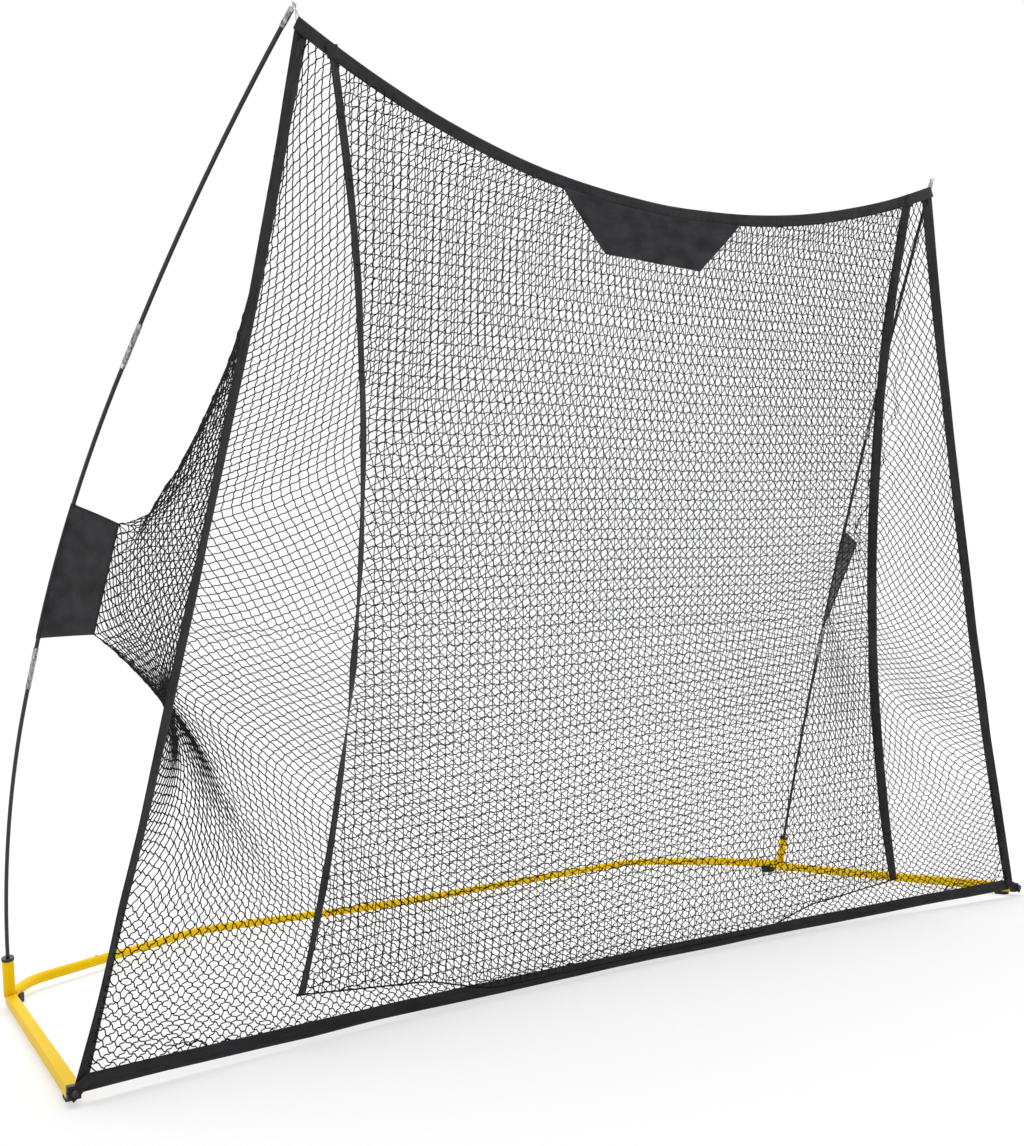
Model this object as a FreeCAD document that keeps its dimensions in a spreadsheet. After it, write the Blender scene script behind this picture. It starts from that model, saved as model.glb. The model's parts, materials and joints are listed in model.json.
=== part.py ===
import FreeCAD, Part
import math
import os
import Sketcher
from FreeCAD import Placement, Rotation, Vector

# Golf practice net: a low yellow tube base, two bowed poles and a bag of netting.
# X runs to the right as the golfer sees it, Y away from the golfer, Z up from the floor.
# The origin is the middle of the whole object's footprint, on the floor. Millimetres.

SIZES = [
    ("net_width", 3050, "between the centre lines of the two rails"),
    ("front_line", -723.1, "Y of the rails' front ends"),
    ("foot_height", 12, "rubber foot under a tube"),
    ("foot_width", 23, "across the rail"),
    ("foot_length", 40, "along the rail"),
    ("foot_edge", 2, "rounding of a foot's lower edges"),
    ("foot_inset", 45, "front foot's centre behind the rail's front end"),
    ("saddle_reach", 46, "rear foot's centre along the elbow, from the rail's rear end"),
    ("saddle_width", 38, "rear foot across the elbow"),
    ("saddle_rise", 27, "rear foot's rims above the floor"),
    ("saddle_gap", 0.2, "rear foot round the elbow, on the diameter"),
    ("peg_diameter", 8, "peg that holds a foot in its rail"),
    ("peg_gap", 0.2, "peg to its hole, on the diameter"),
    ("peg_barb", 9.6, "widest part of the barb on a peg"),
    ("peg_length", 6, "peg above the foot's top face"),
    ("rail_side", 28, "square tube of a rail"),
    ("rail_wall", 1.5, "wall of a rail"),
    ("rail_corner", 3, "outer corner radius of a rail"),
    ("rail_length", 1159, "front end to rear end"),
    ("cap_gap", 0.2, "cap plug inside a rail, on the width"),
    ("cap_plug", 24, "length of the cap plug inside the rail"),
    ("cap_face", 17, "cap block ahead of the rail"),
    ("cap_edge", 2, "rounding of the cap block"),
    ("neck_diameter", 8, "neck behind the hook's head"),
    ("neck_length", 7, "length of that neck"),
    ("head_diameter", 14, "hook's round head"),
    ("head_length", 8, "length of that head"),
    ("socket_diameter", 32, "outside of a socket and an elbow"),
    ("socket_wall", 1.5, "wall of a socket and an elbow"),
    ("socket_length", 108, "socket along its axis, from the rail's top"),
    ("socket_out", 4, "socket foot outside the rail's centre line"),
    ("socket_inset", 16.7, "socket foot ahead of the rail's rear end"),
    ("lean_forward", 17.9, "degrees that a pole's foot leans forward"),
    ("lean_out", 3.7, "degrees that a pole's foot leans outward"),
    ("bend_heading", 37.5, "degrees from straight forward that the bow turns inward"),
    ("collar_diameter", 35, "collar on a socket's rim"),
    ("collar_height", 9, "height of that collar"),
    ("liner_gap", 0.1, "liner inside its socket, on the diameter"),
    ("liner_depth", 94, "liner below the socket's rim"),
    ("liner_floor", 4, "closed lower end of a liner"),
    ("rod_diameter", 11, "pole rod"),
    ("rod_gap", 0.3, "rod in a liner, a ferrule or a flag, on the diameter"),
    ("rod_foot", 96, "lower rod below the collar's top"),
    ("lower_length", 900, "collar to the first joint of the rods"),
    ("middle_length", 949, "first joint to the second"),
    ("upper_length", 890, "second joint to the tip"),
    ("lower_radius", 2831, "bow of the lower rod"),
    ("middle_radius", 4026, "bow of the middle rod"),
    ("upper_radius", 6372, "bow of the upper rod"),
    ("ferrule_length", 125, "straight ferrule over a joint"),
    ("ferrule_diameter", 14, "outside of a ferrule"),
    ("ferrule_edge", 0.5, "chamfer of a ferrule's ends"),
    ("tip_length", 46, "tip ferrule"),
    ("tip_overlap", 32, "upper rod inside the tip ferrule"),
    ("tip_neck", 6, "diameter of the tip cap's neck"),
    ("tip_neck_length", 9.6, "length of that neck"),
    ("tip_head", 15.5, "diameter of the tip cap's head"),
    ("tip_head_length", 3.5, "thickness of that head"),
    ("elbow_height", 36, "axis of the back bar above the floor"),
    ("bar_diameter", 28.6, "outside of the back bar"),
    ("bar_wall", 1.5, "wall of the back bar"),
    ("spigot_gap", 0.4, "swaged end in its tube, on the diameter"),
    ("slip_length", 110, "overlap of two back bar tubes"),
    ("left_bend_in", 80, "first left bend inside the rail's line"),
    ("left_bend_back", 186, "first left bend behind the rail's end"),
    ("left_joint_reach", 330, "first left bend to the elbow's free end"),
    ("left_turn_in", 725, "second left bend inside the rail's line"),
    ("left_turn_back", 671, "second left bend behind the rail's end"),
    ("middle_turn_in", 1445, "middle bend inside the left rail's line"),
    ("middle_turn_back", 566, "middle bend behind the rail's end"),
    ("middle_joint_reach", 320, "middle bend to the middle joint"),
    ("right_turn_in", 280, "second right bend inside the rail's line"),
    ("right_turn_back", 696, "second right bend behind the rail's end"),
    ("right_bend_in", 70, "first right bend inside the rail's line"),
    ("right_bend_back", 311, "first right bend behind the rail's end"),
    ("right_joint_reach", 250, "first right bend to the elbow's free end"),
    ("elbow_radius", 250, "bend radius of the elbows"),
    ("turn_radius", 250, "bend radius of the back bar's left turn"),
    ("tight_radius", 130, "bend radius of the back bar's right turn"),
    ("slack_radius", 1500, "bend radius at the back bar's middle"),
    ("button_diameter", 7.8, "snap button"),
    ("button_gap", 0.3, "snap button in its holes, on the diameter"),
    ("button_inset", 55, "snap button from the outer tube's end"),
    ("button_proud", 3.2, "snap button above the outer tube"),
    ("button_flange", 10.4, "flange that keeps the button in"),
    ("button_flange_height", 1.2, "thickness of that flange"),
    ("spring_strip", 0.8, "thickness of the leaf spring"),
    ("spring_width", 7, "width of the leaf spring"),
    ("spring_length", 42, "length of the leaf spring"),
    ("front_lean", 11.45, "degrees that the net's front leans towards the golfer"),
    ("front_bow", 128.8, "how far the front bows back in the middle"),
    ("front_step", 1, "front's foot behind the rails' front ends"),
    ("cloth_thickness", 2, "webbing and netting"),
    ("seam_gap", 0.3, "between two pieces of webbing or netting"),
    ("tape_width", 36, "webbing"),
    ("top_corner_in", 452, "upper corner of the front inside the rail's line"),
    ("top_corner_rise", 2360, "upper corner up the front"),
    ("top_middle_rise", 2138, "top edge up the front, in the middle"),
    ("side_middle_in", 261, "outer edge inside the rail's line, half way up"),
    ("side_middle_rise", 1252, "height up the front at which that is measured"),
    ("side_foot_in", 17, "outer edge inside the rail's line, near the floor"),
    ("side_foot_rise", 92, "lower end of the edge tape, up the front"),
    ("floor_gap", 0.5, "bottom tape above the floor"),
    ("hem_top_in", 526, "hem's outer edge at its top, inside the rail's line"),
    ("hem_top_rise", 2330, "height up the front at which that is measured"),
    ("hem_middle_in", 633, "hem's outer edge half way up, inside the rail's line"),
    ("hem_middle_rise", 1200, "height up the front at which that is measured"),
    ("hem_foot_in", 500, "hem's outer edge at its foot, inside the rail's line"),
    ("hem_foot_rise", 104, "foot of the hem, up the front"),
    ("belly_rise", 14, "hitting net's lower edge in the middle, up the front"),
    ("gap_width", 150, "gap of the net across"),
    ("gap_height", 172, "gap of the net up and down"),
    ("cord_width", 13, "strand between two gaps"),
    ("net_border", 16, "solid border round the gaps"),
    ("net_lap", 21.6, "outer net in from the edge tape's outer edge"),
    ("net_ridge", 25.2, "outer net's upper corner in from the front's corner"),
    ("net_hang", 12, "outer net below the front's top edge"),
    ("net_foot", 9, "outer net above the bottom tape's lower edge"),
    ("net_foot_in", 72, "outer net's lower corner in from the outer edge"),
    ("patch_top", 622, "header patch along its top"),
    ("patch_bottom", 330, "header patch along its bottom"),
    ("patch_height", 162, "header patch up and down"),
    ("patch_drop", 6, "header patch below the top tape"),
    ("flag_start", 993, "flag's lower end along the pole, from the collar"),
    ("flag_length", 401, "flag along the pole"),
    ("flag_sleeve", 1.2, "cloth of the sleeve round the pole"),
    ("flag_top_in", 185, "upper inner corner of a flag inside the rail's line"),
    ("flag_top_inset", 829, "that corner ahead of the rails' rear ends"),
    ("flag_top_rise", 1292, "that corner above the floor"),
    ("flag_foot_in", 155, "lower inner corner of a flag inside the rail's line"),
    ("flag_foot_inset", 609, "that corner ahead of the rails' rear ends"),
    ("flag_foot_rise", 1032, "that corner above the floor"),
    ("back_top_sag", 80, "back net's middle ahead of the flags' upper corners"),
    ("back_foot_sag", 110, "back net's middle ahead of the flags' lower corners"),
    ("bag_in", 133, "back net's edge inside the rail's line, low down"),
    ("bag_inset", 759, "that edge ahead of the rails' rear ends"),
    ("bag_rise", 500, "that edge above the floor"),
    ("bag_sag", 60, "back net's middle behind that edge"),
    ("floor_in", 89, "back net's edge inside the rail's line, on the floor"),
    ("floor_inset", 989, "that edge ahead of the rails' rear ends"),
    ("floor_sag", 230, "back net's middle behind that edge"),
    ("floor_rise", 3, "back net above the floor there"),
    ("loop_wire", 2.4, "elastic cord of a corner loop"),
    ("loop_half", 5.6, "half the width of a corner loop, to the cord's centre"),
    ("strap_width", 25, "corner strap at the hook"),
    ("strap_hole_gap", 0.8, "strap round the hook's neck, on the diameter"),
]


class Term:
    """A number that also carries the sheet formula that gives it."""

    def __init__(self, number, text):
        self.number = float(number)
        self.text = text

    def __add__(self, other):
        return joined(self, "+", other, self.number + plain(other))

    def __radd__(self, other):
        return joined(other, "+", self, plain(other) + self.number)

    def __sub__(self, other):
        return joined(self, "-", other, self.number - plain(other))

    def __rsub__(self, other):
        return joined(other, "-", self, plain(other) - self.number)

    def __mul__(self, other):
        return joined(self, "*", other, self.number * plain(other))

    def __rmul__(self, other):
        return joined(other, "*", self, plain(other) * self.number)

    def __truediv__(self, other):
        return joined(self, "/", other, self.number / plain(other))

    def __neg__(self):
        return 0 - self


def plain(term):
    return term.number if isinstance(term, Term) else float(term)


def words(term):
    return term.text if isinstance(term, Term) else repr(float(term))


def joined(left, sign, right, number):
    return Term(number, "(%s %s %s)" % (words(left), sign, words(right)))


def bind(thing, path, term):
    """Tie one property or constraint to its formula."""
    if isinstance(term, Term):
        thing.setExpression(path, term.text)


class Sizes:
    """The driving dimensions, read back from the sheet."""


def make_sheet(doc):
    sheet = doc.addObject("Spreadsheet::Sheet", "Sizes")
    for row, (alias, number, meaning) in enumerate(SIZES, 1):
        sheet.set("A%d" % row, meaning)
        sheet.set("B%d" % row, str(number))
        sheet.setAlias("B%d" % row, alias)
    doc.recompute()
    sizes = Sizes()
    for alias, number, meaning in SIZES:
        setattr(sizes, alias, Term(sheet.get(alias), "Sizes." + alias))
    return sizes


doc = FreeCAD.newDocument("GolfPracticeNet")
s = make_sheet(doc)
finished = []


def keep(thing, label, placement=None):
    """Name a finished piece and put it in its place."""
    thing.Label = label
    if placement is not None:
        thing.Placement = placement
    finished.append(thing)
    return thing


# Sketches and features

def new_body(name):
    return doc.addObject("PartDesign::Body", name)


def new_sketch(body, name, plane):
    sketch = body.newObject("Sketcher::SketchObject", name)
    for feature in body.Origin.OriginFeatures:
        if feature.Role == plane:
            sketch.AttachmentSupport = [(feature, "")]
    sketch.MapMode = "FlatFace"
    return sketch


def hold(sketch, geometry, end, across, up):
    """Fix a point of a sketch by its two distances from the origin."""
    for kind, axis, term in (("DistanceX", -2, across), ("DistanceY", -1, up)):
        if not isinstance(term, Term) and plain(term) == 0:
            sketch.addConstraint(Sketcher.Constraint("PointOnObject", geometry, end, axis))
            continue
        rule = Sketcher.Constraint(kind, -1, 1, geometry, end, plain(term))
        bind(sketch, "Constraints[%d]" % sketch.addConstraint(rule), term)


def outline(sketch, points):
    """A closed outline of straight lines."""
    spots = [Vector(plain(x), plain(y), 0) for x, y in points]
    first = sketch.GeometryCount
    count = len(points)
    for index in range(count):
        sketch.addGeometry(Part.LineSegment(spots[index], spots[(index + 1) % count]))
    for index in range(count):
        following = first + (index + 1) % count
        sketch.addConstraint(Sketcher.Constraint("Coincident", first + index, 2, following, 1))
    for index, (across, up) in enumerate(points):
        hold(sketch, first + index, 1, across, up)


def centred_rectangle(sketch, width, height, rise=0):
    across = width / 2
    low = rise - height / 2
    high = rise + height / 2
    outline(sketch, [(-across, low), (across, low), (across, high), (-across, high)])


def circle(sketch, diameter, across=0, up=0):
    centre = Vector(plain(across), plain(up), 0)
    ring = sketch.addGeometry(Part.Circle(centre, Vector(0, 0, 1), plain(diameter) / 2))
    rule = Sketcher.Constraint("Diameter", ring, plain(diameter))
    bind(sketch, "Constraints[%d]" % sketch.addConstraint(rule), diameter)
    if plain(across) == 0 and plain(up) == 0:
        sketch.addConstraint(Sketcher.Constraint("Coincident", ring, 3, -1, 1))
    else:
        hold(sketch, ring, 3, across, up)


def pad(body, name, sketch, length, away=False):
    feature = body.newObject("PartDesign::Pad", name)
    feature.Profile = sketch
    feature.Length = plain(length)
    feature.Reversed = away
    bind(feature, "Length", length)
    return feature


def pocket(body, name, sketch, length, away=False):
    feature = body.newObject("PartDesign::Pocket", name)
    feature.Profile = sketch
    feature.Length = plain(length)
    feature.Reversed = away
    bind(feature, "Length", length)
    return feature


def dressed(body, kind, name, base, edges, size):
    """A fillet or a chamfer on the named edges of the feature below."""
    feature = body.newObject("PartDesign::" + kind, name)
    feature.Base = (base, edges)
    place = "Radius" if kind == "Fillet" else "Size"
    setattr(feature, place, plain(size))
    bind(feature, place, size)
    return feature


def edges_where(shape, test):
    return ["Edge%d" % n for n, edge in enumerate(shape.Edges, 1) if test(edge)]


def turned(name, profile):
    """A body turned about Z from (radius, height) points."""
    body = new_body(name)
    sketch = new_sketch(body, name + "_profile", "XZ_Plane")
    outline(sketch, profile)
    feature = body.newObject("PartDesign::Revolution", name + "_turned")
    feature.Profile = sketch
    feature.ReferenceAxis = (sketch, ["V_Axis"])
    feature.Angle = 360
    return body


def add_arc(sketch, centre, begin, finish):
    """A sketch arc from begin to finish, the short way; gives it with the ends' numbers."""
    flat = [math.atan2(spot.y - centre.y, spot.x - centre.x) for spot in (begin, finish)]
    forward = (flat[1] - flat[0]) % (2 * math.pi) < math.pi
    low, high = flat if forward else flat[::-1]
    ring = Part.Circle(centre, Vector(0, 0, 1), (begin - centre).Length)
    arc = sketch.addGeometry(Part.ArcOfCircle(ring, low, high))
    return (arc, 1, 2) if forward else (arc, 2, 1)


def tangent_path(sketch, corners, radii):
    """Straight runs through the corners, with a tangent arc at each bend."""
    spots = [Vector(plain(x), plain(y), 0) for x, y in corners]
    count = len(corners)
    starts = [spots[0]]
    arcs = []
    for index in range(1, count - 1):
        before = (spots[index] - spots[index - 1]).normalize()
        after = (spots[index + 1] - spots[index]).normalize()
        turn = before.getAngle(after)
        reach = plain(radii[index - 1]) * math.tan(turn / 2)
        enter = spots[index] - before * reach
        leave = spots[index] + after * reach
        bisector = (after - before).normalize()
        centre = spots[index] + bisector * (plain(radii[index - 1]) / math.cos(turn / 2))
        arcs.append((centre, enter, leave))
        starts.extend([enter, leave])
    starts.append(spots[-1])
    lines = []
    bends = []
    for index in range(count - 1):
        lines.append(sketch.addGeometry(Part.LineSegment(starts[2 * index], starts[2 * index + 1])))
        if index < count - 2:
            bends.append(add_arc(sketch, *arcs[index]))
    sketch.addConstraint(Sketcher.Constraint("Coincident", lines[0], 1, -1, 1))
    hold(sketch, lines[-1], 2, corners[-1][0], corners[-1][1])
    for index in range(1, count - 1):
        arc, first_end, last_end = bends[index - 1]
        sketch.addConstraint(Sketcher.Constraint("Tangent", lines[index - 1], 2, arc, first_end))
        sketch.addConstraint(Sketcher.Constraint("Tangent", arc, last_end, lines[index], 1))
        rule = Sketcher.Constraint("Radius", arc, plain(radii[index - 1]))
        bind(sketch, "Constraints[%d]" % sketch.addConstraint(rule), radii[index - 1])
        corner = sketch.addGeometry(Part.Point(spots[index]), True)
        for line in (lines[index - 1], lines[index]):
            sketch.addConstraint(Sketcher.Constraint("PointOnObject", corner, 1, line))
        hold(sketch, corner, 1, corners[index][0], corners[index][1])


def bowed_path(sketch, foot, radius, length, head):
    """A straight foot, an arc of the given length that bends to the right, a straight head."""
    turn = plain(length) / plain(radius)
    low = Vector(0, plain(foot), 0)
    high = Vector(plain(radius) * (1 - math.cos(turn)), plain(foot) + plain(radius) * math.sin(turn), 0)
    top = high + Vector(math.sin(turn), math.cos(turn), 0) * plain(head)
    first = sketch.addGeometry(Part.LineSegment(Vector(0, 0, 0), low))
    arc, first_end, last_end = add_arc(sketch, Vector(plain(radius), plain(foot), 0), low, high)
    last = sketch.addGeometry(Part.LineSegment(high, top))
    sketch.addConstraint(Sketcher.Constraint("Coincident", first, 1, -1, 1))
    sketch.addConstraint(Sketcher.Constraint("Vertical", first))
    sketch.addConstraint(Sketcher.Constraint("Tangent", first, 2, arc, first_end))
    sketch.addConstraint(Sketcher.Constraint("Tangent", arc, last_end, last, 1))
    for rule, term in (
        (Sketcher.Constraint("Distance", first, plain(foot)), foot),
        (Sketcher.Constraint("Radius", arc, plain(radius)), radius),
        (Sketcher.Constraint("Angle", arc, turn), length / radius * (180 / math.pi)),
        (Sketcher.Constraint("Distance", last, plain(head)), head),
    ):
        bind(sketch, "Constraints[%d]" % sketch.addConstraint(rule), term)


def piped(body, name, spine, section):
    doc.recompute()
    feature = body.newObject("PartDesign::AdditivePipe", name)
    feature.Profile = section
    feature.Spine = (spine, ["Edge%d" % n for n in range(1, len(spine.Shape.Edges) + 1)])
    return feature


def without(label, base, tools):
    """A piece with other shapes taken away, as one named result."""
    cut = doc.addObject("Part::Cut", label + "_cut")
    cut.Base = base
    if len(tools) == 1:
        cut.Tool = tools[0]
    else:
        group = doc.addObject("Part::MultiFuse", label + "_tools")
        group.Shapes = tools
        cut.Tool = group
    return cut


def cylinder(name, diameter, length, placement):
    shape = doc.addObject("Part::Cylinder", name)
    bind(shape, "Radius", diameter / 2)
    bind(shape, "Height", length)
    shape.Placement = placement
    return shape


def frame(origin, x_axis, z_axis):
    """A placement from an origin, an x direction and a z direction."""
    y_axis = z_axis.cross(x_axis)
    return Placement(origin, Rotation(x_axis, y_axis, z_axis, "ZXY"))


# Places that several pieces share

SIDES = (("left", -1), ("right", 1))
rail_out = plain(s.net_width) / 2
rail_axis_rise = s.foot_height + s.rail_side / 2
rear_line = plain(s.front_line) + plain(s.rail_length)
socket_back = s.rail_length - s.socket_inset


def at(out, back, rise, side=1):
    """A point from its distances: out from the middle, back from the front ends, above the floor."""
    return Vector(side * plain(out), plain(s.front_line) + plain(back), plain(rise))


def inside(inset):
    """How far from the middle something lies that is set in from the rail's line."""
    return rail_out - plain(inset)


def pole_frame(side):
    """The pole's frame at the collar's top: z up the pole, x towards which it bows."""
    lean = math.radians(plain(s.lean_forward))
    out = math.radians(plain(s.lean_out))
    heading = math.radians(plain(s.bend_heading))
    up = Vector(side * math.sin(out), -math.sin(lean) * math.cos(out), math.cos(lean) * math.cos(out))
    bow = Vector(-side * math.sin(heading), -math.cos(heading), 0)
    bow = (bow - up * bow.dot(up)).normalize()
    foot = at(rail_out + plain(s.socket_out), socket_back, s.foot_height + s.rail_side, side)
    return frame(foot + up * plain(s.socket_length + s.collar_height), bow, up)


def along_arc(radius, length):
    """The step from an arc's start to its end, bending towards x."""
    turn = length / radius
    spot = Vector(radius * (1 - math.cos(turn)), 0, radius * math.sin(turn))
    return Placement(spot, Rotation(Vector(0, 1, 0), math.degrees(turn)))


def up_by(length):
    return Placement(Vector(0, 0, length), Rotation())


half_ferrule = s.ferrule_length / 2
lower_arc = s.lower_length - half_ferrule
middle_arc = s.middle_length - s.ferrule_length
upper_arc = s.upper_length - half_ferrule - s.tip_length


def pole_places(side):
    """Frames at the collar, at both joints of the rods and at the tip ferrule's start."""
    collar = pole_frame(side)
    step = up_by(plain(half_ferrule))
    first = collar * along_arc(plain(s.lower_radius), plain(lower_arc)) * step
    second = first * step * along_arc(plain(s.middle_radius), plain(middle_arc)) * step
    tip = second * step * along_arc(plain(s.upper_radius), plain(upper_arc))
    return {"collar": collar, "first": first, "second": second, "tip": tip}


# Base

def make_rail(side_name, side):
    body = new_body(side_name + "_rail_body")
    section = new_sketch(body, side_name + "_rail_outside", "XZ_Plane")
    centred_rectangle(section, s.rail_side, s.rail_side, rail_axis_rise)
    block = pad(body, side_name + "_rail_length", section, s.rail_length, True)
    doc.recompute()

    def is_long_edge(edge):
        return abs(edge.Length - plain(s.rail_length)) < 0.01

    rounded = dressed(body, "Fillet", side_name + "_rail_corners", block,
                      edges_where(block.Shape, is_long_edge), s.rail_corner)
    bore = new_sketch(body, side_name + "_rail_bore", "XZ_Plane")
    clear_side = s.rail_side - s.rail_wall * 2
    centred_rectangle(bore, clear_side, clear_side, rail_axis_rise)
    hollow = pocket(body, side_name + "_rail_hollow", bore, s.rail_length)
    peg = new_sketch(body, side_name + "_rail_peg_hole", "XY_Plane")
    circle(peg, s.peg_diameter, 0, s.foot_inset)
    pocket(body, side_name + "_rail_peg_cut", peg, s.foot_height + s.rail_wall * 2, True)
    doc.recompute()
    check_removed(rounded, hollow)
    keep(body, side_name + "_rail", Placement(at(rail_out, 0, 0, side), Rotation()))


def check_removed(before, after):
    """A cut that misses leaves the volume as it was."""
    if after.Shape.Volume >= before.Shape.Volume:
        raise ValueError(after.Label + " removed nothing")


def is_low_edge(edge):
    return edge.BoundBox.ZMax < 0.01


def add_peg(body, name, seat, lip):
    """A barbed peg on a foot, from its seat through the wall of a tube to above the lip."""
    sketch = new_sketch(body, name + "_peg_profile", "XZ_Plane")
    shank = (s.peg_diameter - s.peg_gap) / 2
    top = seat + s.peg_length
    outline(sketch, [(0, seat / 2), (shank, seat / 2), (shank, lip),
                     (s.peg_barb / 2, lip + s.rail_wall / 2), (shank / 2, top), (0, top)])
    peg = body.newObject("PartDesign::Revolution", name + "_peg")
    peg.Profile = sketch
    peg.ReferenceAxis = (sketch, ["V_Axis"])
    peg.Angle = 360


def make_foot(name, side):
    """A rubber block under the front end of a rail."""
    body = new_body(name + "_body")
    section = new_sketch(body, name + "_plan", "XY_Plane")
    centred_rectangle(section, s.foot_width, s.foot_length)
    block = pad(body, name + "_block", section, s.foot_height)
    doc.recompute()
    dressed(body, "Fillet", name + "_edge", block, edges_where(block.Shape, is_low_edge), s.foot_edge)
    doc.recompute()
    add_peg(body, name, s.foot_height, s.foot_height + s.rail_wall + s.seam_gap)
    keep(body, name, Placement(at(rail_out, s.foot_inset, 0, side), Rotation()))


def make_saddle_foot(name, start, bend):
    """A rubber block that cradles an elbow just behind its rail."""
    body = new_body(name + "_body")
    section = new_sketch(body, name + "_plan", "XY_Plane")
    centred_rectangle(section, s.saddle_width, s.foot_length)
    block = pad(body, name + "_block", section, s.saddle_rise)
    doc.recompute()
    dressed(body, "Fillet", name + "_edge", block, edges_where(block.Shape, is_low_edge), s.foot_edge)
    doc.recompute()
    cradle = new_sketch(body, name + "_cradle_section", "XZ_Plane")
    circle(cradle, s.socket_diameter + s.saddle_gap, 0, s.elbow_height)
    groove = pocket(body, name + "_cradle", cradle, s.foot_length * 2)
    groove.Midplane = True
    doc.recompute()
    seat = s.elbow_height - (s.socket_diameter + s.saddle_gap) / 2
    bore = plain(s.socket_diameter) / 2 - plain(s.socket_wall)
    lip = s.elbow_height - math.sqrt(bore ** 2 - (plain(s.peg_barb) / 2) ** 2) + s.seam_gap
    add_peg(body, name, seat, lip)
    spot = towards(start, bend, s.saddle_reach)
    heading = (bend - start).normalize()
    spot.z = 0
    keep(body, name, frame(spot, Vector(heading.y, -heading.x, 0), Vector(0, 0, 1)))


def make_rail_cap(side_name, side):
    """Square plug and block with a hook like a mushroom on its front."""
    name = side_name + "_rail_cap"
    body = new_body(name + "_body")
    plug_side = s.rail_side - s.rail_wall * 2 - s.cap_gap
    plug_sketch = new_sketch(body, name + "_plug_section", "XZ_Plane")
    centred_rectangle(plug_sketch, plug_side, plug_side)
    pad(body, name + "_plug", plug_sketch, s.cap_plug, True)
    face_sketch = new_sketch(body, name + "_face_section", "XZ_Plane")
    centred_rectangle(face_sketch, s.rail_side, s.rail_side)
    block = pad(body, name + "_face", face_sketch, s.cap_face)
    doc.recompute()

    def is_front_or_long(edge):
        box = edge.BoundBox
        reach = plain(s.rail_side) / 2 - 0.01
        outside = max(abs(box.XMax), abs(box.ZMax)) > reach and min(box.YMin, box.YMax) < -0.01
        return outside and (box.YMax < -plain(s.cap_face) + 0.01 or box.YLength > 1)

    dressed(body, "Fillet", name + "_round", block, edges_where(block.Shape, is_front_or_long), s.cap_edge)
    doc.recompute()
    hook_sketch = new_sketch(body, name + "_hook_profile", "XY_Plane")
    neck_end = -(s.cap_face + s.neck_length)
    shoulder = neck_end - s.head_length / 2
    outline(hook_sketch, [(0, -(s.cap_face / 2)), (s.neck_diameter / 2, -(s.cap_face / 2)),
                          (s.neck_diameter / 2, neck_end), (s.head_diameter / 2, neck_end - s.head_length / 8),
                          (s.head_diameter / 2, shoulder), (s.head_diameter / 4, neck_end - s.head_length),
                          (0, neck_end - s.head_length)])
    hook = body.newObject("PartDesign::Revolution", name + "_hook")
    hook.Profile = hook_sketch
    hook.ReferenceAxis = (hook_sketch, ["V_Axis"])
    hook.Angle = 360
    keep(body, name, Placement(at(rail_out, 0, rail_axis_rise, side), Rotation()))


def make_socket(side_name, side):
    """A short leaning tube, mitred where it stands on the rail."""
    body = new_body(side_name + "_socket_body")
    section = new_sketch(body, side_name + "_socket_section", "XY_Plane")
    circle(section, s.socket_diameter)
    circle(section, s.socket_diameter - s.socket_wall * 2)
    pad(body, side_name + "_socket_tube", section, s.socket_length + s.socket_diameter)
    rim = pole_frame(side) * up_by(-plain(s.collar_height))
    body.Placement = rim * up_by(-plain(s.socket_length + s.socket_diameter))
    below = doc.addObject("Part::Box", side_name + "_socket_mitre")
    for measure in ("Length", "Width"):
        bind(below, measure, s.socket_diameter * 4)
    bind(below, "Height", s.foot_height + s.rail_side)
    corner = at(rail_out, socket_back, 0, side) - Vector(1, 1, 0) * plain(s.socket_diameter * 2)
    below.Placement = Placement(corner, Rotation())
    keep(without(side_name + "_socket", body, [below]), side_name + "_socket")


def make_liner(side_name, side):
    """The sleeve that grips the lower rod, with the collar that shows on the socket's rim."""
    outer = (s.socket_diameter - s.socket_wall * 2 - s.liner_gap) / 2
    bore = (s.rod_diameter + s.rod_gap) / 2
    foot = -(s.collar_height + s.liner_depth)
    round_over = s.collar_height / 6
    profile = [(0, foot), (outer, foot), (outer, -s.collar_height),
               (s.collar_diameter / 2, -s.collar_height), (s.collar_diameter / 2, -round_over),
               (s.collar_diameter / 2 - round_over, 0), (bore, 0), (bore, foot + s.liner_floor),
               (0, foot + s.liner_floor)]
    body = turned(side_name + "_socket_liner_body", profile)
    keep(body, side_name + "_socket_liner", pole_frame(side))


# Poles

def make_rod(name, placement, foot, radius, length, head):
    body = new_body(name + "_body")
    spine = new_sketch(body, name + "_line", "XZ_Plane")
    bowed_path(spine, foot, radius, length, head)
    section = new_sketch(body, name + "_section", "XY_Plane")
    circle(section, s.rod_diameter)
    piped(body, name + "_rod", spine, section)
    keep(body, name, placement)


def make_ferrule(name, placement, length):
    bore = (s.rod_diameter + s.rod_gap) / 2
    outer = s.ferrule_diameter / 2
    edge = s.ferrule_edge
    low = -(length / 2)
    high = length / 2
    body = turned(name + "_body", [(bore, low), (outer - edge, low), (outer, low + edge),
                                   (outer, high - edge), (outer - edge, high), (bore, high)])
    keep(body, name, placement)


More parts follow.
